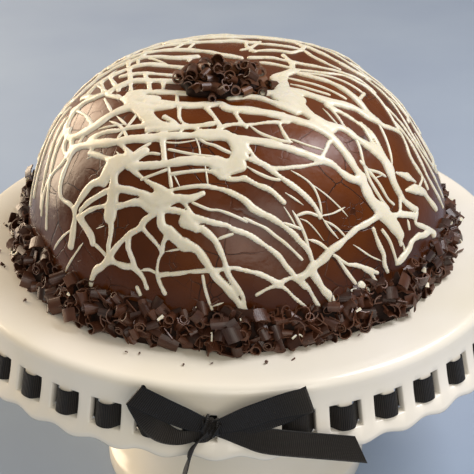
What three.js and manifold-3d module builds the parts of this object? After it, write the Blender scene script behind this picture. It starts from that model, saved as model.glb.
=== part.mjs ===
// Dome-shaped chocolate cake on a footed ceramic cake stand, with a ribbon woven through the stand's skirt.
//
// Millimetres, +Z up. The stand's axis is the Z axis and its foot rests on z = 0. The bow faces -Y.
// An azimuth is measured from -Y towards +X. A depth is measured down from the top of the plate.

import * as THREE from 'three';
import { mergeVertices } from 'three/addons/utils/BufferGeometryUtils.js';
import Module from 'manifold-3d';

const wasm = await Module();
wasm.setup();

// ---- Driving dimensions -------------------------------------------------------------------------

const FIT_GAP = 0.3; // clearance between touching pieces

// Cake stand: plate, pierced skirt and pedestal, cast and glazed as one piece of ceramic.
const STAND_HEIGHT = 145;
const RIM_RADIUS = 153.2; // outside of the plate, just under its rounded edge
const RIM_ROUNDING = 5;
const PLATE_THICKNESS = 8;
const SKIRT_DEPTH = 36.6; // mean depth of the scalloped lower edge
const SKIRT_FLARE = 7.1; // how far the lower edge stands out beyond the rim
const FLARE_POWER = 1.9;
const SKIRT_WALL = 5;

const BAR_COUNT = 80; // upright bars between the slots, one of them straight ahead
const SLOT_WIDTH = 4.9;
const SLOT_TOP = 15; // depth of the slot's upper edge
const SLOT_FOOT = 28.4; // depth of the slot's lower edge
const SCALLOP_COUNT = 40;
const SCALLOP_SWING = 1.1; // half the height from the top to the bottom of a scallop
const SCALLOP_TURN = THREE.MathUtils.degToRad(-1.7); // azimuth of the lobe nearest the front

const FOOT_RADIUS = 77;
const FOOT_BAND = 12; // height of the upright band round the foot
const FOOT_STEP = 2.5; // how far the bell is set in above that band
const WAIST_RADIUS = 58;
const WAIST_HEIGHT = 75;
const NECK_RADIUS = 72;
const PEDESTAL_WALL = 6;
const PEDESTAL_FACETS = 48;

// Cake: a flat-topped dome, as turned out of a bowl.
const DOME_RADIUS = 115;
const DOME_HEIGHT = 101;
const DOME_CROWN = 43.6; // radius of the flat crown
const DOME_SHOULDER_POWER = 1.75;
const DOME_SIDE_POWER = 2.45;
const DOME_BULGE = 4; // how far the coating has gathered low on the right side
const BULGE_HEIGHT = 18;
const BULGE_SPREAD = 22;
const DOME_FACETS = 60;
const DOME_LEVELS = 9;

// Chocolate curls heaped round the foot of the dome, and a small heap on its crown.
const RING_RADIUS = 126; // where the heap meets the plate
const RING_HEIGHT = 24.5;
const RING_BELLY = 2.2; // how far the loose curls bulge out above the plate
const RING_LIP = 3; // width of the uneven top, where the curls lean on the dome
const RING_HEIGHT_SWELL = 2.4;
const RING_RADIUS_SWELL = 1.8;
const RING_SIDE_SPREAD = 2.5; // how much wider the heap lies at its two sides
const RING_BACK_RISE = 7; // how much higher the heap is round the back half
const RING_BACK_EASE = 0.35; // cosine of the angle over which it rises to that
const PILE_CENTRE = new THREE.Vector2(-4.8, -22.2);
const PILE_HALF_WIDTH = 25;
const PILE_HALF_LENGTH = 19;
const PILE_HEIGHT = 11;
const PILE_FACETS = 24;

// Ribbon: half-inch grosgrain, woven over one bar and behind the next, then tied in a bow.
const RIBBON_WIDTH = 12.7;
const RIBBON_THICKNESS = 0.8;
const KNOT_AZIMUTH = THREE.MathUtils.degToRad(-2.25); // the knot covers a slot
const KNOT_WIDTH = 8;
const KNOT_HEIGHT = 11;
const KNOT_RAISE = 3; // how far its middle is above the middle of the woven band
const KNOT_PINCH = 0.35; // how much narrower it is at its ends than at its middle
const KNOT_FACETS = 10;
const KNOT_PROUD = 164.6; // how far from the axis the front of the knot stands

// ---- Small helpers ------------------------------------------------------------------------------

/** The closed triangle mesh of a geometry, as a solid that can be cut and joined. */
function solid(geometry) {
  const bare = geometry.clone();
  bare.deleteAttribute('normal');
  bare.deleteAttribute('uv');
  const merged = mergeVertices(bare, 1e-4);
  return new wasm.Manifold(new wasm.Mesh({
    numProp: 3,
    vertProperties: new Float32Array(merged.attributes.position.array),
    triVerts: new Uint32Array(merged.index.array),
  }));
}

/** A cut or joined solid, as a geometry again. */
function geometryOf(manifold) {
  const mesh = manifold.getMesh();
  const geometry = new THREE.BufferGeometry();
  geometry.setAttribute('position', new THREE.BufferAttribute(mesh.vertProperties, 3));
  geometry.setIndex(new THREE.BufferAttribute(mesh.triVerts, 1));
  geometry.computeVertexNormals();
  return geometry;
}

/** A profile of [radius, height] pairs turned about +Z, starting at azimuth 0. */
function turned(profile, facets) {
  const points = profile.map(([radius, height]) => new THREE.Vector2(radius, height));
  return new THREE.LatheGeometry(points, facets).rotateX(Math.PI / 2);
}

/** A point at an azimuth, a distance from the axis and a height. */
function polar(azimuth, radius, height) {
  return new THREE.Vector3(radius * Math.sin(azimuth), -radius * Math.cos(azimuth), height);
}

/** A closed skin over rings of points; each ring is a closed loop, and `capped` closes both ends. */
function skin(rings, capped) {
  const count = rings[0].length;
  const last = capped ? rings.length - 1 : rings.length;
  const index = [];
  for (let ring = 0; ring < last; ring += 1) {
    const next = (ring + 1) % rings.length;
    for (let k = 0; k < count; k += 1) {
      const a = ring * count + k;
      const b = ring * count + (k + 1) % count;
      const c = next * count + (k + 1) % count;
      const d = next * count + k;
      index.push(a, b, c, a, c, d);
    }
  }
  if (capped) {
    const end = last * count;
    for (let k = 1; k < count - 1; k += 1) {
      index.push(0, k + 1, k);
      index.push(end, end + k, end + k + 1);
    }
  }
  const geometry = new THREE.BufferGeometry().setFromPoints(rings.flat());
  geometry.setIndex(index);
  return geometry;
}

/** A slow uneven swell of about -1 to 1 round the heap, the same on every run. */
function swell(azimuth, turnsA, turnsB, shift) {
  return 0.6 * Math.sin(turnsA * azimuth + shift) + 0.4 * Math.sin(turnsB * azimuth + 2.3 * shift);
}

// ---- Cake stand ---------------------------------------------------------------------------------

/** Outside radius of the skirt at a depth below the top of the plate. */
function skirtRadius(depth) {
  const fall = Math.max(0, depth - RIM_ROUNDING) / (SKIRT_DEPTH - RIM_ROUNDING);
  return RIM_RADIUS + SKIRT_FLARE * fall ** FLARE_POWER;
}

/** Outside radius of the pedestal at a height above the table. */
function pedestalRadius(height) {
  if (height <= FOOT_BAND) return FOOT_RADIUS;
  if (height < WAIST_HEIGHT) {
    const fall = (WAIST_HEIGHT - height) / (WAIST_HEIGHT - FOOT_BAND);
    return WAIST_RADIUS + (FOOT_RADIUS - FOOT_STEP - WAIST_RADIUS) * fall ** 2;
  }
  const rise = (height - WAIST_HEIGHT) / (STAND_HEIGHT - PLATE_THICKNESS - WAIST_HEIGHT);
  return WAIST_RADIUS + (NECK_RADIUS - WAIST_RADIUS) * rise ** 2;
}

/**
 * Plate and skirt as columns of points, one column on each upright edge of the slots. Each column
 * runs from the axis under the plate, down the inside of the skirt, up its outside and back to the
 * axis over the plate. Between the two edges of a slot the skirt's faces are left out and the four
 * walls of the slot join its outside to its inside.
 */
function plateGeometry() {
  const at = (depth) => STAND_HEIGHT - depth;
  const outer = (depth) => [skirtRadius(depth), at(depth)];
  const inner = (depth) => [skirtRadius(depth) - SKIRT_WALL, at(depth)];
  const rounded = RIM_ROUNDING * (1 - Math.SQRT1_2);
  const column = (azimuth) => {
    const edge = SKIRT_DEPTH + SCALLOP_SWING * Math.cos(SCALLOP_COUNT * (azimuth - SCALLOP_TURN));
    return [
      [RIM_RADIUS - SKIRT_WALL - 2, at(PLATE_THICKNESS)],
      inner(PLATE_THICKNESS + 2),
      inner(SLOT_TOP),
      inner(SLOT_FOOT),
      inner(edge),
      outer(edge),
      outer(SLOT_FOOT),
      outer(SLOT_TOP),
      outer(RIM_ROUNDING),
      [RIM_RADIUS - rounded, at(rounded)],
      [RIM_RADIUS - RIM_ROUNDING, at(0)],
    ].map(([radius, height]) => polar(azimuth, radius, height));
  };
  const [innerTop, innerFoot, outerFoot, outerTop] = [2, 3, 6, 7];
  const halfSlot = SLOT_WIDTH / 2 / (RIM_RADIUS + SKIRT_FLARE / 4);
  const points = [];
  for (let slot = 0; slot < BAR_COUNT; slot += 1) {
    const middle = (slot + 0.5) * 2 * Math.PI / BAR_COUNT;
    points.push(...column(middle - halfSlot), ...column(middle + halfSlot));
  }
  const rows = points.length / (2 * BAR_COUNT);
  const under = points.push(new THREE.Vector3(0, 0, at(PLATE_THICKNESS))) - 1;
  const over = points.push(new THREE.Vector3(0, 0, at(0))) - 1;
  const index = [];
  const quad = (a, b, c, d) => index.push(a, b, c, a, c, d);
  for (let side = 0; side < 2 * BAR_COUNT; side += 1) {
    const here = side * rows;
    const next = ((side + 1) % (2 * BAR_COUNT)) * rows;
    const isSlot = side % 2 === 0;
    for (let row = 0; row < rows - 1; row += 1) {
      if (!(isSlot && (row === innerTop || row === outerFoot))) {
        quad(here + row, next + row, next + row + 1, here + row + 1);
      }
    }
    index.push(under, next, here);
    index.push(over, here + rows - 1, next + rows - 1);
    if (isSlot) {
      quad(here + innerTop, next + innerTop, next + outerTop, here + outerTop);
      quad(next + innerFoot, here + innerFoot, here + outerFoot, next + outerFoot);
      quad(here + innerFoot, here + innerTop, here + outerTop, here + outerFoot);
      quad(next + innerTop, next + innerFoot, next + outerFoot, next + outerTop);
    }
  }
  return new THREE.BufferGeometry().setFromPoints(points).setIndex(index);
}

/** Hollow waisted pedestal, open at the foot; it runs a little way into the plate to join it. */
function pedestalGeometry() {
  const top = STAND_HEIGHT - PLATE_THICKNESS / 2;
  const outerHeights = [FOOT_BAND + 1, 32, 54, WAIST_HEIGHT, 98, 120];
  const outer = [[FOOT_RADIUS, 0], [FOOT_RADIUS, FOOT_BAND]]
    .concat(outerHeights.map((height) => [pedestalRadius(height), height]))
    .concat([[NECK_RADIUS, top]]);
  const innerHeights = [110, WAIST_HEIGHT, 40];
  const inner = [[NECK_RADIUS - PEDESTAL_WALL, top]]
    .concat(innerHeights.map((height) => [pedestalRadius(height) - PEDESTAL_WALL, height]))
    .concat([[FOOT_RADIUS - FOOT_STEP - PEDESTAL_WALL, 0]]);
  return turned([...outer, ...inner, outer[0]], PEDESTAL_FACETS);
}

function cakeStand() {
  const body = solid(plateGeometry()).add(solid(pedestalGeometry()));
  const ceramic = new THREE.MeshStandardMaterial({ color: 0xe9e2d2, roughness: 0.18 });
  return new THREE.Mesh(geometryOf(body), ceramic);
}

// ---- Cake ---------------------------------------------------------------------------------------

/** Radius of the dome at a height above the plate and an azimuth. */
function domeRadius(height, azimuth) {
  const share = Math.min(1, height / DOME_HEIGHT) ** DOME_SIDE_POWER;
  const bowl = DOME_CROWN + (DOME_RADIUS - DOME_CROWN) * (1 - share) ** (1 / DOME_SHOULDER_POWER);
  const low = Math.exp(-(((height - BULGE_HEIGHT) / BULGE_SPREAD) ** 2));
  return bowl + DOME_BULGE * low * Math.max(0, Math.sin(azimuth)) ** 2;
}

/** The azimuths of the facets' edges, once round the dome. */
function roundTheDome() {
  return Array.from({ length: DOME_FACETS }, (_, k) => (k / DOME_FACETS) * 2 * Math.PI);
}

function cakeDome() {
  const levels = [];
  for (let k = 0; k <= DOME_LEVELS; k += 1) {
    const height = DOME_HEIGHT * Math.sin((k / DOME_LEVELS) * Math.PI / 2);
    levels.push(roundTheDome().map((azimuth) => (
      polar(azimuth, domeRadius(height, azimuth), STAND_HEIGHT + FIT_GAP + height)
    )));
  }
  const chocolate = new THREE.MeshStandardMaterial({ color: 0x4a2717, roughness: 0.3 });
  return new THREE.Mesh(geometryOf(solid(skin(levels, true))), chocolate);
}

const curlChocolate = () => new THREE.MeshStandardMaterial({ color: 0x3a1f14, roughness: 0.45 });

/** The heap of curls round the foot of the dome, out to its uneven outline. */
function curlRing() {
  const clearance = 3 * FIT_GAP; // the facets' middles lie a little inside their edges
  const rings = roundTheDome().map((azimuth) => {
    const back = Math.min(1, Math.max(0, -Math.cos(azimuth) / RING_BACK_EASE));
    const height = RING_HEIGHT + RING_HEIGHT_SWELL * swell(azimuth, 11, 19, 1.1) + RING_BACK_RISE * back;
    const spread = RING_SIDE_SPREAD * Math.sin(azimuth) ** 2;
    const radius = RING_RADIUS + spread + RING_RADIUS_SWELL * swell(azimuth, 9, 16, 0.4);
    const dome = (level) => domeRadius(level, azimuth) + clearance;
    const outline = [
      [dome(0), 0],
      [dome(height / 2), height / 2],
      [dome(height), height - RING_LIP / 2],
      [dome(height) + RING_LIP, height],
      [radius - RING_LIP, 0.75 * height],
      [radius + RING_BELLY, 0.36 * height],
      [radius, 0],
    ];
    return outline.map(([r, z]) => polar(azimuth, r, STAND_HEIGHT + FIT_GAP + z));
  });
  return new THREE.Mesh(geometryOf(solid(skin(rings, false))), curlChocolate());
}

/** The small heap of curls on the crown. */
function curlPile() {
  const base = STAND_HEIGHT + DOME_HEIGHT + 2 * FIT_GAP;
  const levels = [[1, 0], [1.02, 0.35], [0.72, 0.82], [0.3, 1]]; // share of the outline, share of the height
  const rings = levels.map(([share, rise], level) => {
    const ring = [];
    for (let k = 0; k < PILE_FACETS; k += 1) {
      const azimuth = (k / PILE_FACETS) * 2 * Math.PI;
      const uneven = share * (1 + 0.09 * swell(azimuth, 5, 8, 0.7));
      ring.push(new THREE.Vector3(
        PILE_CENTRE.x + PILE_HALF_WIDTH * uneven * Math.cos(azimuth),
        PILE_CENTRE.y + PILE_HALF_LENGTH * uneven * Math.sin(azimuth),
        base + PILE_HEIGHT * rise * (1 + 0.08 * swell(azimuth, 4, 7, level)),
      ));
    }
    return ring;
  });
  return new THREE.Mesh(geometryOf(solid(skin(rings, true))), curlChocolate());
}

// ---- Ribbon -------------------------------------------------------------------------------------

/** The woven band: outside the odd bars, behind the even ones, crossing in the middle of each slot. */
function bandGeometry() {
  const middle = (SLOT_TOP + SLOT_FOOT) / 2;
  const run = skirtRadius(SLOT_FOOT) - skirtRadius(SLOT_TOP);
  const reach = RIBBON_WIDTH / 2 * Math.cos(Math.atan2(run, SLOT_FOOT - SLOT_TOP));
  const half = RIBBON_THICKNESS / 2;
  const step = 2 * Math.PI / BAR_COUNT;
  const wallAt = (depth) => skirtRadius(SLOT_TOP) + run * (depth - SLOT_TOP) / (SLOT_FOOT - SLOT_TOP);
  const corner = (azimuth, over, side, depth) => {
    const overRadius = wallAt(depth) + FIT_GAP + half;
    const underRadius = wallAt(depth) - SKIRT_WALL - FIT_GAP - half;
    return polar(azimuth, (over ? overRadius : underRadius) + side * half, STAND_HEIGHT - depth);
  };
  const rings = [];
  for (let bar = 0; bar < BAR_COUNT; bar += 1) {
    const over = bar % 2 === 1;
    // The crossing has the ribbon's thickness, so the outer face turns on one side of the slot's
    // middle and the inner face on the other.
    for (const [edge, before] of [[-0.5, 1], [0.5, -1]]) {
      const azimuth = (bar + edge) * step;
      const shift = (over ? before : -before) * half / RIM_RADIUS;
      rings.push([
        corner(azimuth - shift, over, 1, middle - reach),
        corner(azimuth - shift, over, 1, middle + reach),
        corner(azimuth + shift, over, -1, middle + reach),
        corner(azimuth + shift, over, -1, middle - reach),
      ]);
    }
  }
  return skin(rings, false);
}

/** A length of ribbon along stations of [x, y, depth, sideways lean and backward tilt of its width]. */
function strip(stations) {
  const centres = stations.map(([x, y, depth]) => new THREE.Vector3(x, y, STAND_HEIGHT - depth));
  const rings = centres.map((centre, k) => {
    const ahead = centres[Math.min(k + 1, centres.length - 1)];
    const behind = centres[Math.max(k - 1, 0)];
    const along = ahead.clone().sub(behind).normalize();
    const lean = THREE.MathUtils.degToRad(stations[k][3]);
    const tilt = THREE.MathUtils.degToRad(stations[k][4]);
    const upright = new THREE.Vector3(Math.sin(lean), Math.tan(tilt), Math.cos(lean)).normalize();
    const across = upright.addScaledVector(along, -upright.dot(along)).normalize();
    const face = along.clone().cross(across);
    return [[1, 1], [-1, 1], [-1, -1], [1, -1]].map(([side, front]) => centre.clone()
      .addScaledVector(across, side * RIBBON_WIDTH / 2)
      .addScaledVector(face, front * RIBBON_THICKNESS / 2));
  });
  return skin(rings, true);
}

/** The knot: a small pinched barrel of ribbon with its back against the woven band. */
function knotGeometry() {
  const back = skirtRadius((SLOT_TOP + SLOT_FOOT) / 2) + FIT_GAP + RIBBON_THICKNESS / 2;
  const depth = KNOT_PROUD - back;
  const rings = [-1, -0.55, 0, 0.55, 1].map((level) => {
    const pinch = 1 - KNOT_PINCH * level ** 2;
    const ring = [];
    for (let k = 0; k < KNOT_FACETS; k += 1) {
      const turn = (k / KNOT_FACETS) * 2 * Math.PI;
      ring.push(new THREE.Vector3(
        KNOT_WIDTH / 2 * pinch * Math.cos(turn),
        -(back + depth / 2) + depth / 2 * pinch * Math.sin(turn),
        STAND_HEIGHT - (SLOT_TOP + SLOT_FOOT) / 2 + KNOT_RAISE + KNOT_HEIGHT / 2 * level,
      ));
    }
    return ring;
  });
  return skin(rings, true).rotateZ(KNOT_AZIMUTH);
}

function ribbon() {
  const loopsAndTails = [
    [[-5, -162, 17.4, 15, 0], [-18, -163.4, 10.4, 28, -4],
      [-28, -162.8, 5.6, 29, -2], [-42.6, -159.7, -0.2, 36, 0]],
    [[-42.6, -159.1, -0.2, 36, 0], [-40.4, -158.2, 8, 50, 8], [-36.4, -158.4, 14, 52, 12],
      [-22, -160.4, 21, 12, 10], [-5, -161.4, 18.4, 0, 0]],
    [[-8, -162.2, 17.4, -5, 0], [4, -163.6, 12.4, -22, -4],
      [20, -162.8, 5.7, -21, -3], [41.4, -159.2, 0, -22, 0]],
    [[41.4, -158.6, 0.2, -22, 0], [26, -158.4, 10.6, -24, 0],
      [12, -160.6, 15, -16, 0], [-6, -161.4, 17.8, -4, 0]],
    [[-8, -161.6, 18.4, -4, 0], [9, -161.6, 21.6, -12, 18], [20, -161.2, 24.2, -10, 25],
      [44, -159.4, 28, -8, 27], [66.5, -157, 31.8, -9, 24]],
    [[-6, -161.4, 18, 25, 0], [-13, -161.6, 24, 38, 0], [-17, -161.8, 33, 50, 0],
      [-21, -161.9, 47, 60, 0], [-24, -161.6, 64, 66, 0]],
  ];
  let body = solid(bandGeometry()).add(solid(knotGeometry()));
  for (const stations of loopsAndTails) {
    body = body.add(solid(strip(stations)));
  }
  const grosgrain = new THREE.MeshStandardMaterial({ color: 0x1c1b1d, roughness: 0.6 });
  return new THREE.Mesh(geometryOf(body), grosgrain);
}

// ---- Assembly -----------------------------------------------------------------------------------

const group = new THREE.Group();
const pieces = {
  cake_stand: cakeStand,
  cake_dome: cakeDome,
  curl_ring: curlRing,
  curl_pile: curlPile,
  ribbon,
};
for (const [name, make] of Object.entries(pieces)) {
  const mesh = make();
  mesh.name = name;
  group.add(mesh);
}

export default group;
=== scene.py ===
# Dome-shaped chocolate cake on its ceramic cake stand: the visible pieces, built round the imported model.
#
# Metres, +Z up. The axis of the stand is the Z axis and the bow faces -Y. An azimuth is measured from -Y
# towards +X. The pieces come in the order in which the real thing is put together: stand, ribbon, cake,
# white chocolate, curls.

import math

import bpy
import numpy as np
from mathutils import Matrix, Vector


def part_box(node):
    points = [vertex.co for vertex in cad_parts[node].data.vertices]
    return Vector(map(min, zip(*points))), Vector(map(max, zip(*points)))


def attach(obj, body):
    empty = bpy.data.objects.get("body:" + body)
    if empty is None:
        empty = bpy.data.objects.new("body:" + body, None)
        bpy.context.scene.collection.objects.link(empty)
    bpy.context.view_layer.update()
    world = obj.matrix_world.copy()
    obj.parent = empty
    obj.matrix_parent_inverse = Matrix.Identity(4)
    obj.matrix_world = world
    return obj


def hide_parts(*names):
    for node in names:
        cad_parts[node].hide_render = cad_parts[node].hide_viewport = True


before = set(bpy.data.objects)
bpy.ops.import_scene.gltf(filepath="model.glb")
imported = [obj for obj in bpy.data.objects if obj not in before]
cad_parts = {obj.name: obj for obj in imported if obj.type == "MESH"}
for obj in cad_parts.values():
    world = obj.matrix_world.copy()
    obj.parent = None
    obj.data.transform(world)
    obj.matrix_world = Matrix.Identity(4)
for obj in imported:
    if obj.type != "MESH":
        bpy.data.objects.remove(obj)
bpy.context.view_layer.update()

# ---- Studio ---------------------------------------------------------------------------------------
# A pale blue-grey table that runs on as the backdrop, with a soft key light high on the right, a low warm
# one behind on the left and a weak fill in front. The camera looks down on the cake by about 29 degrees.

MM = 0.001
PLATE_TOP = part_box("cake_stand")[1].z
CAMERA_AZIMUTH, CAMERA_ELEVATION, CAMERA_ROLL = 2.0, 28.59, -0.44
CAMERA_DISTANCE, TABLE_REACH = 0.88, 3.0
# The lens and its sensor, and how far to the right of and behind the plate's middle it aims, in millimetres.
CAMERA_LENS, CAMERA_SENSOR = 118.0, 36.0
AIM_RIGHT, AIM_BACK = 1.7, -0.4
ROOM_LIGHT = 0.26


def linear(code):
    """An sRGB colour such as "#e8e1d4" as linear red, green, blue and alpha."""
    parts = [int(code[k:k + 2], 16) / 255 for k in (1, 3, 5)]
    return tuple(p / 12.92 if p <= 0.04045 else ((p + 0.055) / 1.055) ** 2.4 for p in parts) + (1.0,)


def add(tree, kind, inputs=None, stops=(), **settings):
    """Adds a node with its settings and links.

    Inputs are values, or sockets or nodes to link from; a node gives its first output in use. Stops are the
    places and colour codes of a colour ramp, in rising order."""
    made = tree.nodes.new(kind)
    for key, value in settings.items():
        setattr(made, key, value)
    for key, value in (inputs or {}).items():
        if isinstance(value, bpy.types.Node):
            value = next(socket for socket in value.outputs if socket.enabled)
        if isinstance(value, bpy.types.NodeSocket):
            tree.links.new(value, made.inputs[key])
        else:
            made.inputs[key].default_value = value
    for number, (place, code) in enumerate(stops):
        elements = made.color_ramp.elements
        element = elements[number] if number < len(elements) else elements.new(place)
        element.position, element.color = place, linear(code)
    return made


def new_material(name):
    """An empty material, its tree, and the place on the piece in metres that every pattern reads.

    A pattern of scale 1000 / 60 has blotches or cells of about 60 mm."""
    material = bpy.data.materials.new(name)
    material.use_nodes = True
    tree = material.node_tree
    tree.nodes.clear()
    return material, tree, add(tree, "ShaderNodeTexCoord").outputs["Object"]


def smooth_mesh(name, points, faces, uv=None):
    """A smooth-shaded mesh from points in metres, with a UV map where a place is given for each point."""
    mesh = bpy.data.meshes.new(name)
    mesh.from_pydata(points, [], faces)
    mesh.shade_smooth()
    if uv is not None:
        corners = np.empty(len(mesh.loops), np.int32)
        mesh.loops.foreach_get("vertex_index", corners)
        mesh.uv_layers.new(name="UVMap").uv.foreach_set("vector", np.asarray(uv)[corners].ravel())
    return mesh


def piece(name, points, faces, material, uv=None):
    """A mesh object at the origin, in the scene."""
    mesh = smooth_mesh(name, points, faces, uv)
    mesh.materials.append(material)
    made = bpy.data.objects.new(name, mesh)
    bpy.context.scene.collection.objects.link(made)
    return made


def backdrop_paper():
    """Matt backdrop paper: an even, very slightly mottled blue-grey."""
    material, tree, place = new_material("backdrop_paper")
    mottle = add(tree, "ShaderNodeTexNoise", {"Vector": place, "Scale": 1000 / 160, "Detail": 3})
    tint = add(tree, "ShaderNodeValToRGB", {"Fac": mottle}, [(0.3, "#8e9db4"), (0.7, "#97a6ba")])
    finish = add(tree, "ShaderNodeBsdfPrincipled", {"Base Color": tint, "Roughness": 0.9})
    add(tree, "ShaderNodeOutputMaterial", {"Surface": finish})
    return material


def direction(azimuth, elevation):
    """A unit vector away from the cake, at an azimuth and an elevation in degrees."""
    turn, rise = math.radians(azimuth), math.radians(elevation)
    return Vector((math.sin(turn) * math.cos(rise), -math.cos(turn) * math.cos(rise), math.sin(rise)))


def soft_light(name, azimuth, elevation, distance, width, watts, colour):
    """A square area light that looks at the cake from an azimuth and an elevation in degrees."""
    lamp = bpy.data.lights.new(name, "AREA")
    lamp.size = width
    lamp.energy = watts
    lamp.color = linear(colour)[:3]
    away = direction(azimuth, elevation)
    made = bpy.data.objects.new(name, lamp)
    made.matrix_world = Matrix.Translation(Vector((0, 0, PLATE_TOP)) + away * distance) @ \
        away.to_track_quat("Z", "Y").to_matrix().to_4x4()
    bpy.context.scene.collection.objects.link(made)


def studio():
    corners = [(x * TABLE_REACH, y * TABLE_REACH, 0) for x, y in ((-1, -1), (1, -1), (1, 1), (-1, 1))]
    piece("table", corners, [(0, 1, 2, 3)], backdrop_paper())

    soft_light("key_light", 98, 54, 1.3, 0.66, 15, "#fbfaff")
    soft_light("left_light", -124, 12, 1.4, 1.0, 29, "#ffe7c8")
    soft_light("front_light", 14, 26, 1.9, 1.3, 16, "#fff8ee")
    world = bpy.data.worlds.new("soft_room")
    world.use_nodes = True
    world.node_tree.nodes["Background"].inputs["Color"].default_value = linear("#eee8dc")
    world.node_tree.nodes["Background"].inputs["Strength"].default_value = ROOM_LIGHT
    bpy.context.scene.world = world
    bpy.context.scene.view_settings.view_transform = "Standard"

    aim = Vector((AIM_RIGHT * MM, AIM_BACK * MM, PLATE_TOP))
    eye = Vector((0, 0, PLATE_TOP)) + direction(CAMERA_AZIMUTH, CAMERA_ELEVATION) * CAMERA_DISTANCE
    lens = bpy.data.cameras.new("camera")
    lens.lens = CAMERA_LENS
    lens.sensor_width = CAMERA_SENSOR
    camera = bpy.data.objects.new("camera", lens)
    roll_turn = Matrix.Rotation(math.radians(CAMERA_ROLL), 3, "Z")
    look = (eye - aim).to_track_quat("Z", "Y").to_matrix() @ roll_turn
    camera.matrix_world = Matrix.Translation(eye) @ look.to_4x4()
    bpy.context.scene.collection.objects.link(camera)
    bpy.context.scene.camera = camera


studio()

# ---- Cake stand -----------------------------------------------------------------------------------
# Plate, pierced and scalloped skirt and waisted pedestal, slip-cast in one piece of white earthenware and
# dipped in an ivory glaze, which rounds every edge. Lengths are in millimetres here and below.

STAND_HEIGHT = round(PLATE_TOP / MM, 1)
RIM_RADIUS = 153.2
RIM_ROUNDING = 5.0
PLATE_THICKNESS = 8.0
SKIRT_DEPTH = 36.6
SKIRT_FLARE = 7.1
FLARE_POWER = 1.9
SKIRT_WALL = 5.0
BAR_COUNT = 80
SLOT_WIDTH = 4.9
SLOT_TOP, SLOT_FOOT = 15.0, 28.4
SCALLOP_COUNT = 40
SCALLOP_SWING = 1.1
SCALLOP_TURN = math.radians(-1.7)
SKIRT_LIP = 1.3
FOOT_RADIUS, FOOT_BAND, FOOT_STEP = 77.0, 12.0, 2.5
WAIST_RADIUS, WAIST_HEIGHT = 58.0, 75.0
NECK_RADIUS, PEDESTAL_WALL = 72.0, 6.0


def skirt_radius(depth):
    """Outside radius of the skirt at a depth below the top of the plate, both in millimetres."""
    fall = np.maximum(0, depth - RIM_ROUNDING) / (SKIRT_DEPTH - RIM_ROUNDING)
    return RIM_RADIUS + SKIRT_FLARE * fall ** FLARE_POWER


def pedestal_radius(height):
    """Outside radius of the pedestal above its foot band, at a height above the table."""
    if height < WAIST_HEIGHT:
        fall = (WAIST_HEIGHT - height) / (WAIST_HEIGHT - FOOT_BAND)
        return WAIST_RADIUS + (FOOT_RADIUS - FOOT_STEP - WAIST_RADIUS) * fall ** 2
    rise = (height - WAIST_HEIGHT) / (STAND_HEIGHT - PLATE_THICKNESS - WAIST_HEIGHT)
    return WAIST_RADIUS + (NECK_RADIUS - WAIST_RADIUS) * rise ** 2


def polar(azimuth, radius, height):
    """Points in metres from azimuths in radians and radii and heights in millimetres."""
    return np.stack(np.broadcast_arrays(
        radius * np.sin(azimuth) * MM, -radius * np.cos(azimuth) * MM, height * MM), axis=-1)


def stand_outline(edge):
    """Radius and height of one upright section of the stand, from under the plate round to its top.

    Edge is the depth of the scalloped lower edge there. Also gives the rows at the slots' corners."""
    under = STAND_HEIGHT - PLATE_THICKNESS
    line = [(0, under), (30, under), (58, under), (63, under - 0.4), (65.4, under - 1.8)]
    line += [(pedestal_radius(height) - PEDESTAL_WALL, height)
             for height in (130, 118, 106, 94, 82, 70, 58, 46, 34, 22, 13)]
    foot_inside = FOOT_RADIUS - FOOT_STEP - PEDESTAL_WALL
    line += [(foot_inside, 6), (foot_inside + 0.2, 1.0), (foot_inside + 1.2, 0), (FOOT_RADIUS - 1.2, 0)]
    line += [(FOOT_RADIUS - 0.3, 0.4), (FOOT_RADIUS, 1.4), (FOOT_RADIUS, 6), (FOOT_RADIUS, FOOT_BAND - 1.6)]
    line += [(FOOT_RADIUS - 0.4, FOOT_BAND - 0.5), (FOOT_RADIUS - 1.4, FOOT_BAND + 0.2)]
    line += [(FOOT_RADIUS - 2.1, FOOT_BAND + 1.0)]
    line += [(pedestal_radius(height), height)
             for height in (15, 19, 25, 32, 40, 48, 56, 65, 75, 85, 95, 105, 115, 124, 130)]
    line += [(NECK_RADIUS - 0.2, under - 3.2), (NECK_RADIUS + 1.1, under - 1.0), (NECK_RADIUS + 4, under)]
    inside = RIM_RADIUS - SKIRT_WALL
    line += [(100, under), (125, under), (inside - 6, under)]
    line += [(inside - 2, under - 0.5), (inside, under - 2.4)]

    depths = np.linspace(SLOT_TOP, SLOT_FOOT, 5)
    inner_top = len(line)
    line += [(skirt_radius(depth) - SKIRT_WALL, STAND_HEIGHT - depth) for depth in depths]
    inner_foot = len(line) - 1
    tip, low = skirt_radius(edge), STAND_HEIGHT - edge
    back = tip - SKIRT_WALL
    line += [(back - 0.4, low + 3.6), (back, low + SKIRT_LIP)]
    line += [(back + 0.4, low + 0.4), (back + SKIRT_LIP, low)]
    line += [(tip - SKIRT_LIP, low), (tip - 0.4, low + 0.4)]
    line += [(tip, low + SKIRT_LIP), (tip - 0.4, low + 3.6)]
    outer_foot = len(line)
    line += [(skirt_radius(depth), STAND_HEIGHT - depth) for depth in depths[::-1]]
    outer_top = len(line) - 1

    line += [(skirt_radius(depth), STAND_HEIGHT - depth) for depth in (11.5, 8.0)]
    for bend in np.radians([0, 18, 36, 54, 72, 90]):
        line.append((RIM_RADIUS - RIM_ROUNDING * (1 - math.cos(bend)),
                     STAND_HEIGHT - RIM_ROUNDING * (1 - math.sin(bend))))
    line += [(radius, STAND_HEIGHT) for radius in (143, 130, 100, 60, 25, 0)]
    return line, (inner_top, inner_foot, outer_foot, outer_top)


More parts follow.
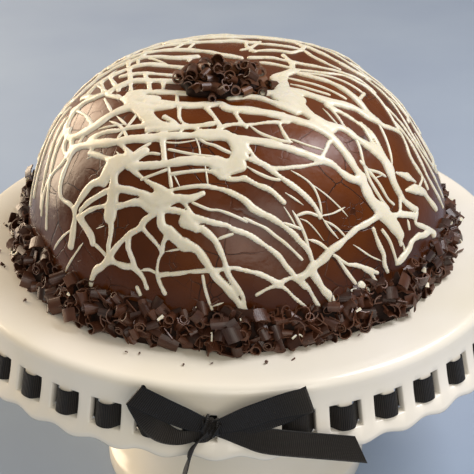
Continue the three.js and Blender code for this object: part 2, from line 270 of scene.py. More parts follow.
def stand_mesh():
    """Columns of points round the stand, with the skirt's faces left out at the slots and walls put in.

    Each slot takes six columns: four across it and two on the bar beside it."""
    pitch = 2 * math.pi / BAR_COUNT
    half_slot = SLOT_WIDTH / 2 / (RIM_RADIUS + SKIRT_FLARE / 4)
    half_bar = pitch / 2 - half_slot
    steps = [-half_slot, -half_slot / 3, half_slot / 3, half_slot,
             half_slot + half_bar * 2 / 3, half_slot + half_bar * 4 / 3]
    azimuths = [(slot + 0.5) * pitch + step for slot in range(BAR_COUNT) for step in steps]
    points = []
    for azimuth in azimuths:
        edge = SKIRT_DEPTH + SCALLOP_SWING * math.cos(SCALLOP_COUNT * (azimuth - SCALLOP_TURN))
        outline, corners = stand_outline(edge)
        points.extend(polar(azimuth, radius, height) for radius, height in outline[1:-1])
    rows = len(outline) - 2
    inner_top, inner_foot, outer_foot, outer_top = (row - 1 for row in corners)
    under, over = len(points), len(points) + 1
    points += [(0, 0, (STAND_HEIGHT - PLATE_THICKNESS) * MM), (0, 0, STAND_HEIGHT * MM)]
    faces = []
    count = len(azimuths)
    for side in range(count):
        here, there = side * rows, (side + 1) % count * rows
        in_slot = side % len(steps) < 3
        for row in range(rows - 1):
            if not (in_slot and (inner_top <= row < inner_foot or outer_foot <= row < outer_top)):
                faces.append((here + row, there + row, there + row + 1, here + row + 1))
        faces.append((under, there, here))
        faces.append((over, here + rows - 1, there + rows - 1))
        if in_slot:
            faces.append((here + inner_top, there + inner_top, there + outer_top, here + outer_top))
            faces.append((there + inner_foot, here + inner_foot, here + outer_foot, there + outer_foot))
        for start, edge_here, turned in ((0, here, False), (2, there, True)):
            if side % len(steps) == start:
                for row in range(inner_foot - inner_top):
                    wall = (edge_here + inner_top + row + 1, edge_here + inner_top + row,
                            edge_here + outer_top - row, edge_here + outer_top - row - 1)
                    faces.append(wall[::-1] if turned else wall)
    return np.array(points), faces


def glazed_earthenware():
    """Glazed earthenware, dipped: a deep even gloss over ivory, faintly clouded, with soft glaze waves."""
    material, tree, place = new_material("glazed_earthenware")
    clouds = add(tree, "ShaderNodeTexNoise", {"Vector": place, "Scale": 1000 / 60, "Detail": 2})
    smears = add(tree, "ShaderNodeTexNoise", {"Vector": place, "Scale": 1000 / 9, "Detail": 3})
    waves = add(tree, "ShaderNodeTexNoise", {"Vector": place, "Scale": 1000 / 22, "Detail": 1})
    finish = add(tree, "ShaderNodeBsdfPrincipled", {
        "Base Color": add(tree, "ShaderNodeValToRGB", {"Fac": clouds}, [(0.3, "#e9e2d0"), (0.7, "#f1ebdf")]),
        "Roughness": add(tree, "ShaderNodeMapRange", {
            "Value": smears, "From Min": 0.3, "From Max": 0.7, "To Min": 0.16, "To Max": 0.24}),
        "Normal": add(tree, "ShaderNodeBump", {"Height": waves, "Strength": 0.06, "Distance": 0.4 * MM}),
        "IOR": 1.5,
    })
    add(tree, "ShaderNodeOutputMaterial", {"Surface": finish})
    return material


def cake_stand():
    points, faces = stand_mesh()
    stand = piece("cake_stand_glazed", points, faces, glazed_earthenware())
    softened = stand.modifiers.new("glaze_softened_edges", "BEVEL")
    softened.width = 0.6 * MM
    softened.segments = 2
    softened.limit_method = "ANGLE"
    softened.angle_limit = math.radians(50)
    softened.use_clamp_overlap = True
    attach(stand, "root")
    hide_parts("cake_stand")


cake_stand()

# ---- Ribbon ---------------------------------------------------------------------------------------
# Half-inch black grosgrain, a ribbed polyester weave with a woven edge. It runs over one bar of the skirt
# and behind the next all the way round, and is tied in front in a flat bow with two loops and two tails.

RIBBON_WIDTH = 12.7
RIBBON_THICKNESS = 0.45
RIB_PITCH, SELVEDGE = 1.0, 0.85


def grosgrain():
    """Polyester grosgrain, woven: cross ribs a millimetre apart between flat selvedges, black with a dull
    lustre. The rib crests are painted lighter as sheen, and the selvedges painted darker as shade. The UV
    map runs along and across the cloth in metres."""
    material, tree, place = new_material("black_grosgrain")
    cloth = add(tree, "ShaderNodeSeparateXYZ", {"Vector": add(tree, "ShaderNodeUVMap")})
    turns = add(tree, "ShaderNodeMath", {0: cloth.outputs["X"], 1: 2 * math.pi / (RIB_PITCH * MM)},
                operation="MULTIPLY")
    wave = add(tree, "ShaderNodeMath", {0: turns}, operation="SINE")
    ribs = add(tree, "ShaderNodeMapRange", {"Value": wave, "From Min": -1})
    from_middle = add(tree, "ShaderNodeMath", {0: cloth.outputs["Y"]}, operation="ABSOLUTE")
    ribs_end = RIBBON_WIDTH / 2 - SELVEDGE
    # Flat at the selvedges, and painted dark there as the shade along the ribbon's edges.
    woven = add(tree, "ShaderNodeMapRange", {
        "Value": from_middle, "From Min": ribs_end * MM, "From Max": (ribs_end + 0.4) * MM,
        "To Min": 1, "To Max": 0})
    ribbed = add(tree, "ShaderNodeMath", {0: ribs, 1: woven}, operation="MULTIPLY")
    lustre = add(tree, "ShaderNodeTexNoise", {"Vector": place, "Scale": 1000 / 2, "Detail": 3})
    # Painted sheen and shade: near black in the rib hollows and at the selvedges, brown-black on the rib
    # crests.
    finish = add(tree, "ShaderNodeBsdfPrincipled", {
        "Base Color": add(tree, "ShaderNodeValToRGB", {"Fac": ribbed}, [(0, "#040302"), (1, "#28221b")]),
        "Roughness": add(tree, "ShaderNodeMapRange", {
            "Value": lustre, "From Min": 0.3, "From Max": 0.7, "To Min": 0.42, "To Max": 0.55}),
        "Normal": add(tree, "ShaderNodeBump", {"Height": ribbed, "Strength": 0.8, "Distance": 0.3 * MM}),
        "Specular IOR Level": 0.35, "Sheen Weight": 0.03, "Sheen Roughness": 0.4,
    })
    add(tree, "ShaderNodeOutputMaterial", {"Surface": finish})
    return material


BLACK_GROSGRAIN = grosgrain()


def between_rings(here, there, count):
    """Faces between two closed rings of points, which start at the numbers here and there."""
    return [(here + k, here + (k + 1) % count, there + (k + 1) % count, there + k) for k in range(count)]


def ribbon_strip(name, centres, across, widths, closed=False, cup=0.0, pleat=0.0, slant=0.0):
    """A ribbon of real thickness along centre points, with the direction and size of its width at each.

    All in metres. Cup bows the section outwards, pleat folds it lengthways, and slant cuts the far end
    askew. The UV map runs along and across the cloth in metres, so the ribs follow it."""
    centres, across = np.asarray(centres), np.asarray(across)
    across = across / np.linalg.norm(across, axis=1, keepdims=True)
    if closed:
        along = np.roll(centres, -1, 0) - np.roll(centres, 1, 0)
    else:
        along = np.gradient(centres, axis=0)
    along /= np.linalg.norm(along, axis=1, keepdims=True)
    facing = np.cross(along, across)
    facing /= np.linalg.norm(facing, axis=1, keepdims=True)
    reach = np.concatenate([[0], np.cumsum(np.linalg.norm(np.diff(centres, axis=0), axis=1))])
    skew = slant * np.clip(1 - (reach[-1] - reach) / (4 * max(slant, 1e-6)), 0, 1)
    shares = np.linspace(-0.5, 0.5, 9)
    half = RIBBON_THICKNESS / 2 * MM
    sides = [(share, 1) for share in shares] + [(share, -1) for share in shares[::-1]]
    points, uv = [], []
    for k in range(len(centres)):
        for share, side in sides:
            bow = cup * (1 - 4 * share * share) + pleat * math.cos(8 * math.pi * share)
            points.append(centres[k] + across[k] * share * widths[k] + facing[k] * (side * half + bow)
                          - along[k] * share * skew[k])
            uv.append((reach[k], share * RIBBON_WIDTH * MM))
    ring = len(sides)
    faces = []
    for k in range(len(centres) if closed else len(centres) - 1):
        faces += between_rings(k * ring, (k + 1) % len(centres) * ring, ring)
    if not closed:
        faces.append(tuple(range(ring - 1, -1, -1)))
        faces.append(tuple(range((len(centres) - 1) * ring, len(centres) * ring)))
    strip = piece(name, np.array(points), faces, BLACK_GROSGRAIN, uv)
    strip.data.set_sharp_from_angle(angle=math.radians(60))
    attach(strip, "root")
    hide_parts("ribbon")
    return strip, reach[-1]


def woven_band():
    """Over the odd bars, slightly slack, and behind the even ones, crossing through each slot."""
    steps = BAR_COUNT * 12
    azimuth = np.arange(steps) * 2 * math.pi / steps
    swing = np.cos(azimuth * BAR_COUNT / 2)
    over = 0.5 - 0.5 * np.clip(swing * 1.7, -1, 1)
    clear = RIBBON_THICKNESS / 2 + 0.25
    slack = 1.1 * np.maximum(0, -swing) ** 2 * (1 + 0.35 * np.sin(5.3 * azimuth + 1))
    run = skirt_radius(SLOT_FOOT) - skirt_radius(SLOT_TOP)
    middle = (SLOT_TOP + SLOT_FOOT) / 2
    wall = (skirt_radius(SLOT_TOP) + skirt_radius(SLOT_FOOT)) / 2
    radius = wall - SKIRT_WALL - clear + over * (SKIRT_WALL + 2 * clear) + slack
    centres = polar(azimuth, radius, STAND_HEIGHT - middle)
    across = polar(azimuth, -run + 0 * azimuth, SLOT_FOOT - SLOT_TOP)
    widths = np.full(len(azimuth), RIBBON_WIDTH * MM)
    band, length = ribbon_strip("ribbon_woven_band", centres, across, widths, closed=True)


woven_band()


def smooth_route(stations, steps):
    """A smooth run of stations through a few given ones, by Catmull-Rom curves."""
    knots = np.array(stations, float)
    padded = np.vstack([2 * knots[0] - knots[1], knots, 2 * knots[-1] - knots[-2]])
    run = []
    for k in range(len(knots) - 1):
        before, start, end, after = padded[k:k + 4]
        for t in np.linspace(0, 1, steps, endpoint=False):
            run.append(0.5 * (2 * start + (end - before) * t
                              + (2 * before - 5 * start + 4 * end - after) * t * t
                              + (3 * start - before - 3 * end + after) * t ** 3))
    run.append(knots[-1])
    return np.array(run)


TAIL_CUT = 4.5


def bow():
    """The loops and tails, each a list of stations: how far its centre is across, forward and below the top
    of the plate, the lean sideways and the tilt backwards of its width from upright in degrees, and the
    width, which the knot gathers to half. The far end of a tail is cut askew."""
    strips = {
        "ribbon_loop_left": [
            (-5, -162.0, 16.2, 15, 0, 6.6), (-10.5, -163.0, 13.8, 24, -4, 9.5),
            (-18, -163.4, 10.4, 28, -4, 12.3), (-28, -162.8, 5.6, 29, -2, 12.7),
            (-37.4, -161.6, 1.2, 33, 0, 12.7), (-42.0, -160.6, -0.5, 36, 0, 12.7),
            (-42.8, -159.6, -0.6, 37, 0, 12.7), (-42.2, -158.6, 0.2, 38, 0, 12.7),
            (-39.8, -158.2, 6.4, 46, 4, 12.7), (-36.2, -158.4, 13.6, 50, 10, 12.7),
            (-30.4, -159.4, 20.4, 30, 34, 11), (-22, -160.4, 23.4, 10, 42, 7.4),
            (-13.5, -161.2, 21.2, 0, 18, 5.6), (-5, -161.4, 16.8, 0, 0, 5.6)],
        "ribbon_loop_right": [
            (-8, -162.2, 16.2, -5, 0, 6.6), (-2.5, -163.0, 14.8, -14, -3, 8.4),
            (4, -163.6, 12.2, -22, -4, 11), (11, -163.6, 9.2, -23, -4, 12.7),
            (20, -162.8, 5.7, -21, -3, 12.7), (31, -161.6, 2.6, -19, 10, 12.7),
            (39.2, -160.4, 1.2, -20, 20, 12.7), (41.0, -159.4, 1.1, -21, 22, 12.7),
            (40.4, -158.4, 1.6, -22, 20, 12.7), (36, -157.8, 4.8, -22, 8, 12.7),
            (26, -158.4, 10.6, -24, 0, 12.7), (12, -160.6, 15.0, -16, 0, 10.5), (0, -161.4, 16.2, -8, 0, 7),
            (-6, -161.4, 16.6, -4, 0, 6.6)],
        "ribbon_tail_right": [
            (-8, -161.6, 17.0, -4, 0, 6.4), (-1, -162.0, 18.2, -10, 6, 7.8),
            (9, -161.6, 20.9, -12, 18, 11.2), (20, -161.2, 24.2, -10, 25, 12.7),
            (37, -160.0, 27.0, -8, 27, 12.7), (52, -158.8, 29.2, -8, 26, 12.7),
            (66.5, -157.0, 31.8, -9, 24, 12.7)],
        "ribbon_tail_left": [
            (-5.5, -162.6, 16.0, 20, 0, 8), (-9.2, -164.0, 18.8, 44, 10, 9),
            (-12.4, -164.8, 22.8, 54, 34, 10.6), (-15.2, -165.0, 29.0, 40, 72, 12.7),
            (-18.0, -165.2, 37.4, 20, 86, 12.7), (-20.6, -164.8, 46.2, 10, 88, 12.7),
            (-23.4, -164.2, 64, 10, 88, 12.7)],
    }
    for name, stations in strips.items():
        run = smooth_route(stations, 9)
        centres = np.stack([run[:, 0], run[:, 1], STAND_HEIGHT - run[:, 2]], 1) * MM
        along = np.gradient(centres, axis=0)
        along /= np.linalg.norm(along, axis=1, keepdims=True)
        lean, tilt = np.radians(run[:, 3]), np.radians(run[:, 4])
        upright = np.stack([np.sin(lean) * np.cos(tilt), np.sin(tilt), np.cos(lean) * np.cos(tilt)], 1)
        askew = np.minimum(np.sum(upright * along, axis=1) ** 2, 0.4)
        widths = run[:, 5] / np.sqrt(1 - askew)
        slant = TAIL_CUT * MM if "tail" in name else 0.0
        strip, length = ribbon_strip(name, centres, upright, widths * MM, slant=slant)


bow()

KNOT_AZIMUTH, KNOT_RADIUS, KNOT_DEPTH = math.radians(-2.25), 162.2, 15.2


def knot():
    """The ribbon's own turn round the middle of the bow, drawn in narrow, with a second fold across it.

    Each of the two gives its lean, half its height, how far it stands out and its width at mid-height."""
    turn = np.linspace(0, 2 * math.pi, 41)[:-1]
    side = np.sign(np.cos(turn)) * np.abs(np.cos(turn)) ** 0.7
    rise = np.sign(np.sin(turn)) * np.abs(np.sin(turn)) ** 0.9
    folds = (("ribbon_knot", 0.0, 4.9, 2.5, 7.8), ("ribbon_knot_fold", 0.5, 4.4, 3.1, 7.4))
    for name, lean, half_height, reach, width in folds:
        centres = polar(KNOT_AZIMUTH + lean * 4 * rise / 162, KNOT_RADIUS + reach * side,
                        STAND_HEIGHT - KNOT_DEPTH + half_height * rise)
        across = polar(KNOT_AZIMUTH + math.pi / 2 + 0 * turn, 1 + 0 * turn, -0.12 - lean + 0 * turn)
        widths = (width + 0.8 * np.abs(rise)) * MM
        strip, length = ribbon_strip(name, centres, across, widths, closed=True, cup=1.3 * MM, pleat=0.5 * MM)


knot()

# ---- Chocolate shell ------------------------------------------------------------------------------
# The cake, turned out of a round-bottomed bowl and covered in one pour of dark milk chocolate glaze. It was
# smoothed by hand, so it waves a little; it set with a satin gloss, and fine cracks run through it in places.

DOME_RADIUS, DOME_HEIGHT = 115.0, 101.0
DOME_CROWN = 43.6
DOME_SHOULDER_POWER, DOME_SIDE_POWER = 1.75, 2.45
DOME_BULGE, BULGE_HEIGHT, BULGE_SPREAD = 4.0, 18.0, 22.0
DOME_FOOT = STAND_HEIGHT + 0.3

# Each kind of crack: the size of its cells, the width of its lines and the size of the patches it shows in,
# and then the values of the patches' noise where it starts and is full.
CRACKS = ((24, 0.13, 60, 0.44, 0.54), (8, 0.11, 38, 0.58, 0.66), (4, 0.08, 30, 0.67, 0.76))


def meridian():
    """Distance over the shell from the crown's middle, with the radius and the height there."""
    side_steps, crown_steps = 900, 60
    height = DOME_HEIGHT * np.sin(np.linspace(math.pi / 2, 0, side_steps))
    fall = 1 - (height / DOME_HEIGHT) ** DOME_SIDE_POWER
    radius = DOME_CROWN + (DOME_RADIUS - DOME_CROWN) * fall ** (1 / DOME_SHOULDER_POWER)
    radius = np.concatenate([np.linspace(0, DOME_CROWN, crown_steps, endpoint=False), radius])
    height = np.concatenate([np.full(crown_steps, DOME_HEIGHT), height])
    reach = np.concatenate([[0], np.cumsum(np.hypot(np.diff(radius), np.diff(height)))])
    return reach, radius, height


MERIDIAN = meridian()
WAVE_COUNT, WAVE_HEIGHT = 14, 0.13
SHORTEST_WAVE, LONGEST_WAVE = 26, 75


def hand_smoothing(points):
    """How far the glaze stands out or in, as slow waves in all directions."""
    draw = np.random.default_rng(7)
    rise = np.zeros(points.shape[:-1])
    for _ in range(WAVE_COUNT):
        way = draw.normal(size=3)
        length = draw.uniform(SHORTEST_WAVE, LONGEST_WAVE)
        rise += np.sin(points @ (way / np.linalg.norm(way)) * 2 * math.pi / length + draw.uniform(0, 6.3))
    return WAVE_HEIGHT * rise


def on_shell(across, forward, lift=0.0):
    """Points on the shell in metres, from places on the unrolled shell and a lift off it in millimetres.

    Across and forward are measured from the crown's middle over the surface, towards +X and +Y."""
    reaches, radii, heights = MERIDIAN
    reach = np.hypot(across, forward)
    ahead = np.interp(reach + 0.5, reaches, radii) - np.interp(reach - 0.5, reaches, radii)
    down = np.interp(reach + 0.5, reaches, heights) - np.interp(reach - 0.5, reaches, heights)
    size = np.hypot(ahead, down) + 1e-9
    radius, height = np.interp(reach, reaches, radii), np.interp(reach, reaches, heights)
    safe = np.maximum(reach, 1e-6)
    east, north = across / safe, forward / safe
    plain = np.stack([radius * east, radius * north, height], -1)
    low_bulge_and_painted_shade = DOME_BULGE * np.exp(-((height - BULGE_HEIGHT) / BULGE_SPREAD) ** 2) * np.maximum(0, east) ** 2
    out = hand_smoothing(plain) * np.minimum(1, reach / 20) + low_bulge_and_painted_shade + lift
    outward = np.stack([-down / size * east, -down / size * north, ahead / size], -1)
    return (plain + outward * out[..., None] + np.array([0, 0, DOME_FOOT])) * MM


def shell_glaze():
    """Set chocolate glaze, poured: milk chocolate with a satin gloss, painted darker towards the foot as the
    shade that falls low on the dome, with hairline cracks in patches."""
    material, tree, place = new_material("set_chocolate_glaze")
    tone = add(tree, "ShaderNodeTexNoise", {"Vector": place, "Scale": 1000 / 45, "Detail": 4})
    thin = add(tree, "ShaderNodeValToRGB", {"Fac": tone},
               [(0.3, "#482008"), (0.5, "#592907"), (0.72, "#6a3409")])
    height = add(tree, "ShaderNodeSeparateXYZ", {"Vector": place}).outputs["Z"]
    # Painted shade: lower down, the glaze's colour is mixed towards near black, up to 0.55 at the foot.
    low_bulge_and_painted_shade = add(tree, "ShaderNodeMapRange", {
        "Value": height, "From Min": (DOME_FOOT + 15) * MM, "From Max": (DOME_FOOT + 75) * MM,
        "To Min": 0.55, "To Max": 0})
    whole = add(tree, "ShaderNodeMixRGB", {"Fac": low_bulge_and_painted_shade, "Color1": thin, "Color2": linear("#1f0e04")})

    drift = add(tree, "ShaderNodeTexNoise", {"Vector": place, "Scale": 1000 / 9, "Detail": 2})
    bent = add(tree, "ShaderNodeVectorMath", {0: drift.outputs["Color"], 1: (2.2 * MM,) * 3, 2: place},
               operation="MULTIPLY_ADD")
    cracks = 0.0
    for cell, width, patch, least, most in CRACKS:
        edge = add(tree, "ShaderNodeTexVoronoi", {"Vector": bent, "Scale": 1000 / cell},
                   feature="DISTANCE_TO_EDGE")
        line = add(tree, "ShaderNodeMapRange", {
            "Value": edge, "From Min": width / cell, "From Max": 2.6 * width / cell,
            "To Min": 1, "To Max": 0})
        patches = add(tree, "ShaderNodeTexNoise", {"Vector": place, "Scale": 1000 / patch, "Detail": 1})
        where = add(tree, "ShaderNodeMapRange", {"Value": patches, "From Min": least, "From Max": most})
        shown = add(tree, "ShaderNodeMath", {0: line, 1: where}, operation="MULTIPLY")
        cracks = add(tree, "ShaderNodeMath", {0: cracks, 1: shown}, operation="MAXIMUM")
    shade = add(tree, "ShaderNodeMath", {0: cracks, 1: 0.85}, operation="MULTIPLY")

    smears = add(tree, "ShaderNodeTexNoise", {
        "Vector": place, "Scale": 1000 / 18, "Detail": 5, "Roughness": 0.6})
    strokes = add(tree, "ShaderNodeTexNoise", {"Vector": place, "Scale": 1000 / 14, "Detail": 3})
    grain = add(tree, "ShaderNodeTexNoise", {"Vector": place, "Scale": 1000 / 3, "Detail": 4})
    smoothed = add(tree, "ShaderNodeBump", {"Height": strokes, "Strength": 0.5, "Distance": 0.9 * MM})
    grained = add(tree, "ShaderNodeBump", {
        "Height": grain, "Strength": 0.25, "Distance": 0.25 * MM, "Normal": smoothed})
    finish = add(tree, "ShaderNodeBsdfPrincipled", {
        "Base Color": add(tree, "ShaderNodeMixRGB", {
            "Fac": shade, "Color1": whole, "Color2": linear("#1a0a04")}),
        "Roughness": add(tree, "ShaderNodeMapRange", {
            "Value": smears, "From Min": 0.3, "From Max": 0.7, "To Min": 0.2, "To Max": 0.38}),
        "Normal": add(tree, "ShaderNodeBump", {
            "Height": cracks, "Strength": 0.7, "Distance": 0.3 * MM, "Normal": grained}, invert=True),
        "IOR": 1.5, "Specular IOR Level": 0.34,
    })
    add(tree, "ShaderNodeOutputMaterial", {"Surface": finish})
    return material


def round_rings(rings, foot, top):
    """Points and faces of rings of equal count, from the top one down, closed by a point at each end."""
    count = rings.shape[1]
    faces = []
    for ring in range(rings.shape[0] - 1):
        here, there = ring * count, (ring + 1) * count
        faces += [(here + k, there + k, there + (k + 1) % count, here + (k + 1) % count)
                  for k in range(count)]
    points = rings.reshape(-1, 3)
    first, last = len(points), len(points) + 1
    end = (rings.shape[0] - 1) * count
    faces += [(first, k, (k + 1) % count) for k in range(count)]
    faces += [(last, end + (k + 1) % count, end + k) for k in range(count)]
    return np.vstack([points, top, foot]), faces


def chocolate_shell():
    columns, rows = 300, 150
    turn = np.linspace(0, 2 * math.pi, columns, endpoint=False)
    reach = np.linspace(0, MERIDIAN[0][-1], rows)[1:]
    rings = on_shell(reach[:, None] * np.cos(turn), reach[:, None] * np.sin(turn))
    top = on_shell(np.array([0.0]), np.array([0.0]))
    points, faces = round_rings(rings, np.array([[0, 0, DOME_FOOT * MM]]), top)
    shell = piece("cake_chocolate_shell", points, faces, shell_glaze())
    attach(shell, "root")
    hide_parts("cake_dome")


chocolate_shell()

# ---- White chocolate drizzle ----------------------------------------------------------------------
# Melted white chocolate flicked to and fro off a spoon: long swings across the crown, runs down the sides
# that pool where they cross and end in round drips, and fine threads where the spoon was nearly empty.

# A route gives the width of its strand at its two ends, and then the places on the unrolled shell that it
# passes, across and forward from the crown's middle. A route of one place is a pool.

# Long swings across the crown, from the left shoulder to the right one.
OVER_THE_TOP = [
    (6, 6.5, (-42, -38), (-35, -41), (-28, -43), (-20, -45), (-10, -45), (-5, -45), (0, -50), (10, -51),
     (27, -53)),
    (5, 4.5, (-53, -26), (-46, -27), (-40, -29), (-30, -30), (-20, -31), (-8, -34)),
    (5, 5.5, (-66, -17), (-57, -14), (-52, -13), (-45, -15), (-36, -16), (-26, -16)),
    (3.5, 3.5, (-60, -3), (-50, -5), (-40, -7), (-26, -9)),
    (4, 5, (-84, -6), (-72, 1), (-62, 4), (-50, 6), (-40, 5), (-26, 3)),
    (4, 5, (-88, 6), (-74, 14), (-60, 17), (-50, 18), (-40, 17), (-30, 17), (-20, 20)),
    (4.4, 4.4, (-70, 24), (-58, 27), (-47, 27), (-38, 28), (-29, 29), (-16, 27), (-5, 21), (4, 17)),
    (3.5, 4.5, (-50, 34), (-38, 38), (-25, 40), (-12, 41), (0, 42), (12, 39)),
    (4, 4.5, (-38, 45), (-25, 47), (-10, 49), (5, 50), (20, 49), (36, 47)),
    (3, 3, (-24, 56), (-4, 59), (16, 58), (36, 54)),
    (3, 3, (6, 42), (7, 34), (11, 26)),
    (2.6, 2.6, (14, 41), (9, 32), (4, 29)),
    (3, 3.5, (9, 27), (23, 27), (31, 25), (36, 28)),
    (3, 3, (34, 42), (38, 35), (37, 29)),
    (3.5, 3.5, (14, 48), (30, 44), (38, 38), (46, 30), (54, 24), (62, 18)),
    (4.5, 6, (60, 19), (68, 15), (75, 16)),
    (3.2, 2.6, (9, 39), (20, 36), (30, 33), (38, 29), (43, 22), (50, 15), (58, 9)),
    (2.6, 2.6, (40, 44), (50, 38), (62, 30), (72, 24), (84, 16)),
    (3.5, 3, (9, 17), (20, 17), (28, 14), (41, 9), (50, 6), (60, 4), (70, 2), (78, -4)),
    (3.2, 2.8, (15, 10), (24, 7), (32, 3), (41, 0), (50, -2), (59, 0), (67, -2), (73, -3)),
    (3.4, 3.2, (27, 21), (31, 13), (32, 3), (30, -6)),
    (7, 5, (26, -8), (33, -1)),
    (4, 5, (31, -1), (39, -7), (45, -11), (52, -14), (59, -18), (67, -23), (72, -27), (78, -31)),
    (2.4, 2, (33, -2), (50, -6), (60, -9), (70, -13)),
    (2.6, 2.6, (71, -13), (68, -22)),
    (2.4, 2, (30, -12), (39, -17), (46, -20), (53, -23), (61, -26)),
    (2, 1.8, (31, -20), (42, -25), (52, -27)),
    (6.5, 5, (30, -28), (41, -31), (50, -33), (59, -32), (66, -31), (74, -32), (80, -31)),
    (10, 12, (25, -11), (25, -19), (27, -28)),
    (8, 7, (17, -31), (27, -33), (36, -37)),
    (7, 6, (30, -35), (41, -47)),
    (5.5, 5, (0, -38), (7, -36), (14, -37), (20, -41), (27, -45), (34, -48)),
    (6, 6.5, (24, -36), (32, -42), (38, -47), (46, -51), (53, -54)),
    (4.5, 7, (27, -53), (36, -55), (44, -56), (51, -59)),
    (3.2, 2.8, (-12, -48), (-7, -57), (-4, -64)),
    (2.8, 2.4, (2, -51), (5, -58), (9, -64)),
    (2.6, 2.6, (-5, -64), (2, -62), (10, -62), (20, -59), (30, -57)),
    (2, 2, (10, -62), (16, -67), (26, -70), (33, -70)),
    (2.6, 2.2, (-26, -47), (-25, -56), (-21, -61), (-13, -66)),
    (3.4, 2.6, (-33, -53), (-28, -58), (-24, -64)),
    (2.6, 2.6, (25, -58), (28, -65), (31, -70)),
    (2.4, 2.4, (-28, -30), (-27, -43)),
    (3, 3, (-36, -17), (-35, -30)),
    (3, 2.8, (-47, -5), (-44, -16), (-42, -28)),
    (3, 3, (-58, 22), (-57, 10), (-55, -2), (-54, -11), (-53, -22)),
    (2.4, 2.4, (-46, 16), (-38, 9), (-34, 4)),
    (2.4, 2.4, (-25, 13), (-22, 21)),
    (2.2, 2.2, (-34, 30), (-28, 40), (-24, 47)),
    (2, 2, (-77, 4), (-71, -8), (-67, -16)),
    (9, 5, (-53, -29), (-47, -33), (-38, -36)),
    (4.4, 3.4, (-42, -60), (-30, -62), (-20, -62), (-8, -61)),
    (3, 2.6, (-67, 2), (-60, -19)),
    (2.6, 2.6, (-72, 1), (-69, -16)),
    (2.4, 2.4, (-47, 28), (-52, 20), (-51, 6)),
    (2, 2, (-22, 41), (-26, 30)),
]
# Down the left shoulder and side, where the strands are widest.
LEFT_SIDE = [
    (4, 4, (-77, -59), (-69, -66), (-62, -72)),
    (2, 2, (-64, -44), (-57, -52), (-53, -62)),
    (1.8, 1.8, (-46, -43), (-52, -52), (-60, -60)),
    (2.4, 3, (-60, -24), (-56, -31), (-52, -40)),
    (9, 4, (-43, -49), (-39, -55), (-30, -61)),
    (3, 2.6, (-58, -63), (-50, -74)),
    (5.5, 6.5, (-88, -39), (-84, -41), (-77, -42), (-71, -42), (-63, -40), (-56, -39), (-49, -40),
     (-44, -43)),
    (5, 6, (-49, -42), (-44, -50), (-39, -56)),
    (4, 5, (-45, -42), (-38, -45), (-30, -45)),
    (4, 5, (-65, -18), (-74, -16), (-81, -14), (-89, -15)),
    (7, 7, (-89, -14)),
    (4, 4, (-74, -16), (-78, -11), (-84, -5)),
    (5, 4.5, (-88, -15), (-93, -23), (-94, -30), (-90, -40), (-90, -49)),
    (2.6, 2.6, (-86, -18), (-80, -28), (-75, -40)),
    (2, 2, (-68, -22), (-63, -37)),
    (3.5, 3.5, (-66, -20), (-58, -28), (-50, -38)),
    (3, 3.4, (-77, -49), (-66, -51), (-58, -54), (-51, -55), (-43, -57)),
    (2.4, 2.4, (-80, -43), (-88, -50)),
    (6, 5.5, (-92, -50), (-86, -49), (-77, -53), (-69, -57), (-60, -61), (-51, -63), (-41, -66)),
    (5, 5.2, (-41, -66), (-30, -67), (-20, -68), (-10, -68), (0, -70), (10, -72), (23, -73), (37, -75)),
    (7.5, 7, (-14, -68), (-2, -69)),
    (8, 9, (2, -72), (6, -78), (4, -86)),
    (2, 2, (-47, -88), (-38, -87), (-31, -86)),
    (3, 2.8, (7, -73), (11, -78), (15, -83), (21, -86)),
    (4.2, 4.6, (37, -75), (46, -76), (55, -76), (61, -78), (66, -79), (72, -78)),
    (3.6, 3, (-88, -47), (-92, -53), (-97, -58), (-101, -63), (-103, -69), (-101, -74), (-97, -79),
     (-94, -84)),
    (4, 3, (-91, -30), (-96, -42), (-92, -52)),
    (3, 2.6, (-90, -47), (-98, -51), (-108, -50), (-118, -53), (-128, -62)),
    (3.4, 3, (-94, -4), (-104, -10), (-114, -19), (-124, -29), (-134, -40)),
    (3.6, 2.8, (-95, -16), (-104, -25), (-112, -36), (-120, -48), (-126, -58)),
    (3, 2.6, (-96, -30), (-104, -38), (-111, -50), (-118, -64), (-126, -74)),
    (3, 3, (-90, 6), (-104, 2), (-118, -8), (-132, -22), (-144, -34)),
    (5, 4, (-54, -76), (-60, -78), (-67, -78), (-72, -79), (-78, -78), (-84, -80), (-89, -82), (-94, -84)),
    (3.4, 4.6, (-94, -84), (-96, -89), (-99, -93), (-102, -97), (-105, -100)),
    (8, 7, (-64, -74), (-70, -80)),
    (7, 5, (-60, -72), (-52, -75), (-43, -73)),
    (3, 3.4, (-90, -87), (-82, -86), (-76, -86), (-69, -86)),
    (3, 3, (-91, -90), (-80, -91), (-69, -94)),
    (5.5, 8, (-61, -74), (-63, -82), (-65, -89), (-67, -94), (-70, -100)),
    (4, 5, (-92, -90), (-89, -97), (-86, -104), (-86, -108)),
    (2.4, 2.4, (-85, -109), (-81, -114), (-77, -120)),
    (3, 3, (-70, -105), (-72, -110), (-75, -115), (-76, -120)),
    (4, 2.2, (-52, -73), (-52, -79), (-49, -84), (-43, -90)),
    (3.4, 4, (-43, -90), (-38, -94), (-31, -99)),
    (1.8, 2.4, (-60, -67), (-55, -74), (-46, -71), (-40, -69)),
    (1.8, 1.8, (-50, -78), (-42, -75), (-35, -77)),
    (3.6, 3.2, (-34, -66), (-33, -80)),
    (2.2, 2.2, (-31, -84), (-30, -96)),
]
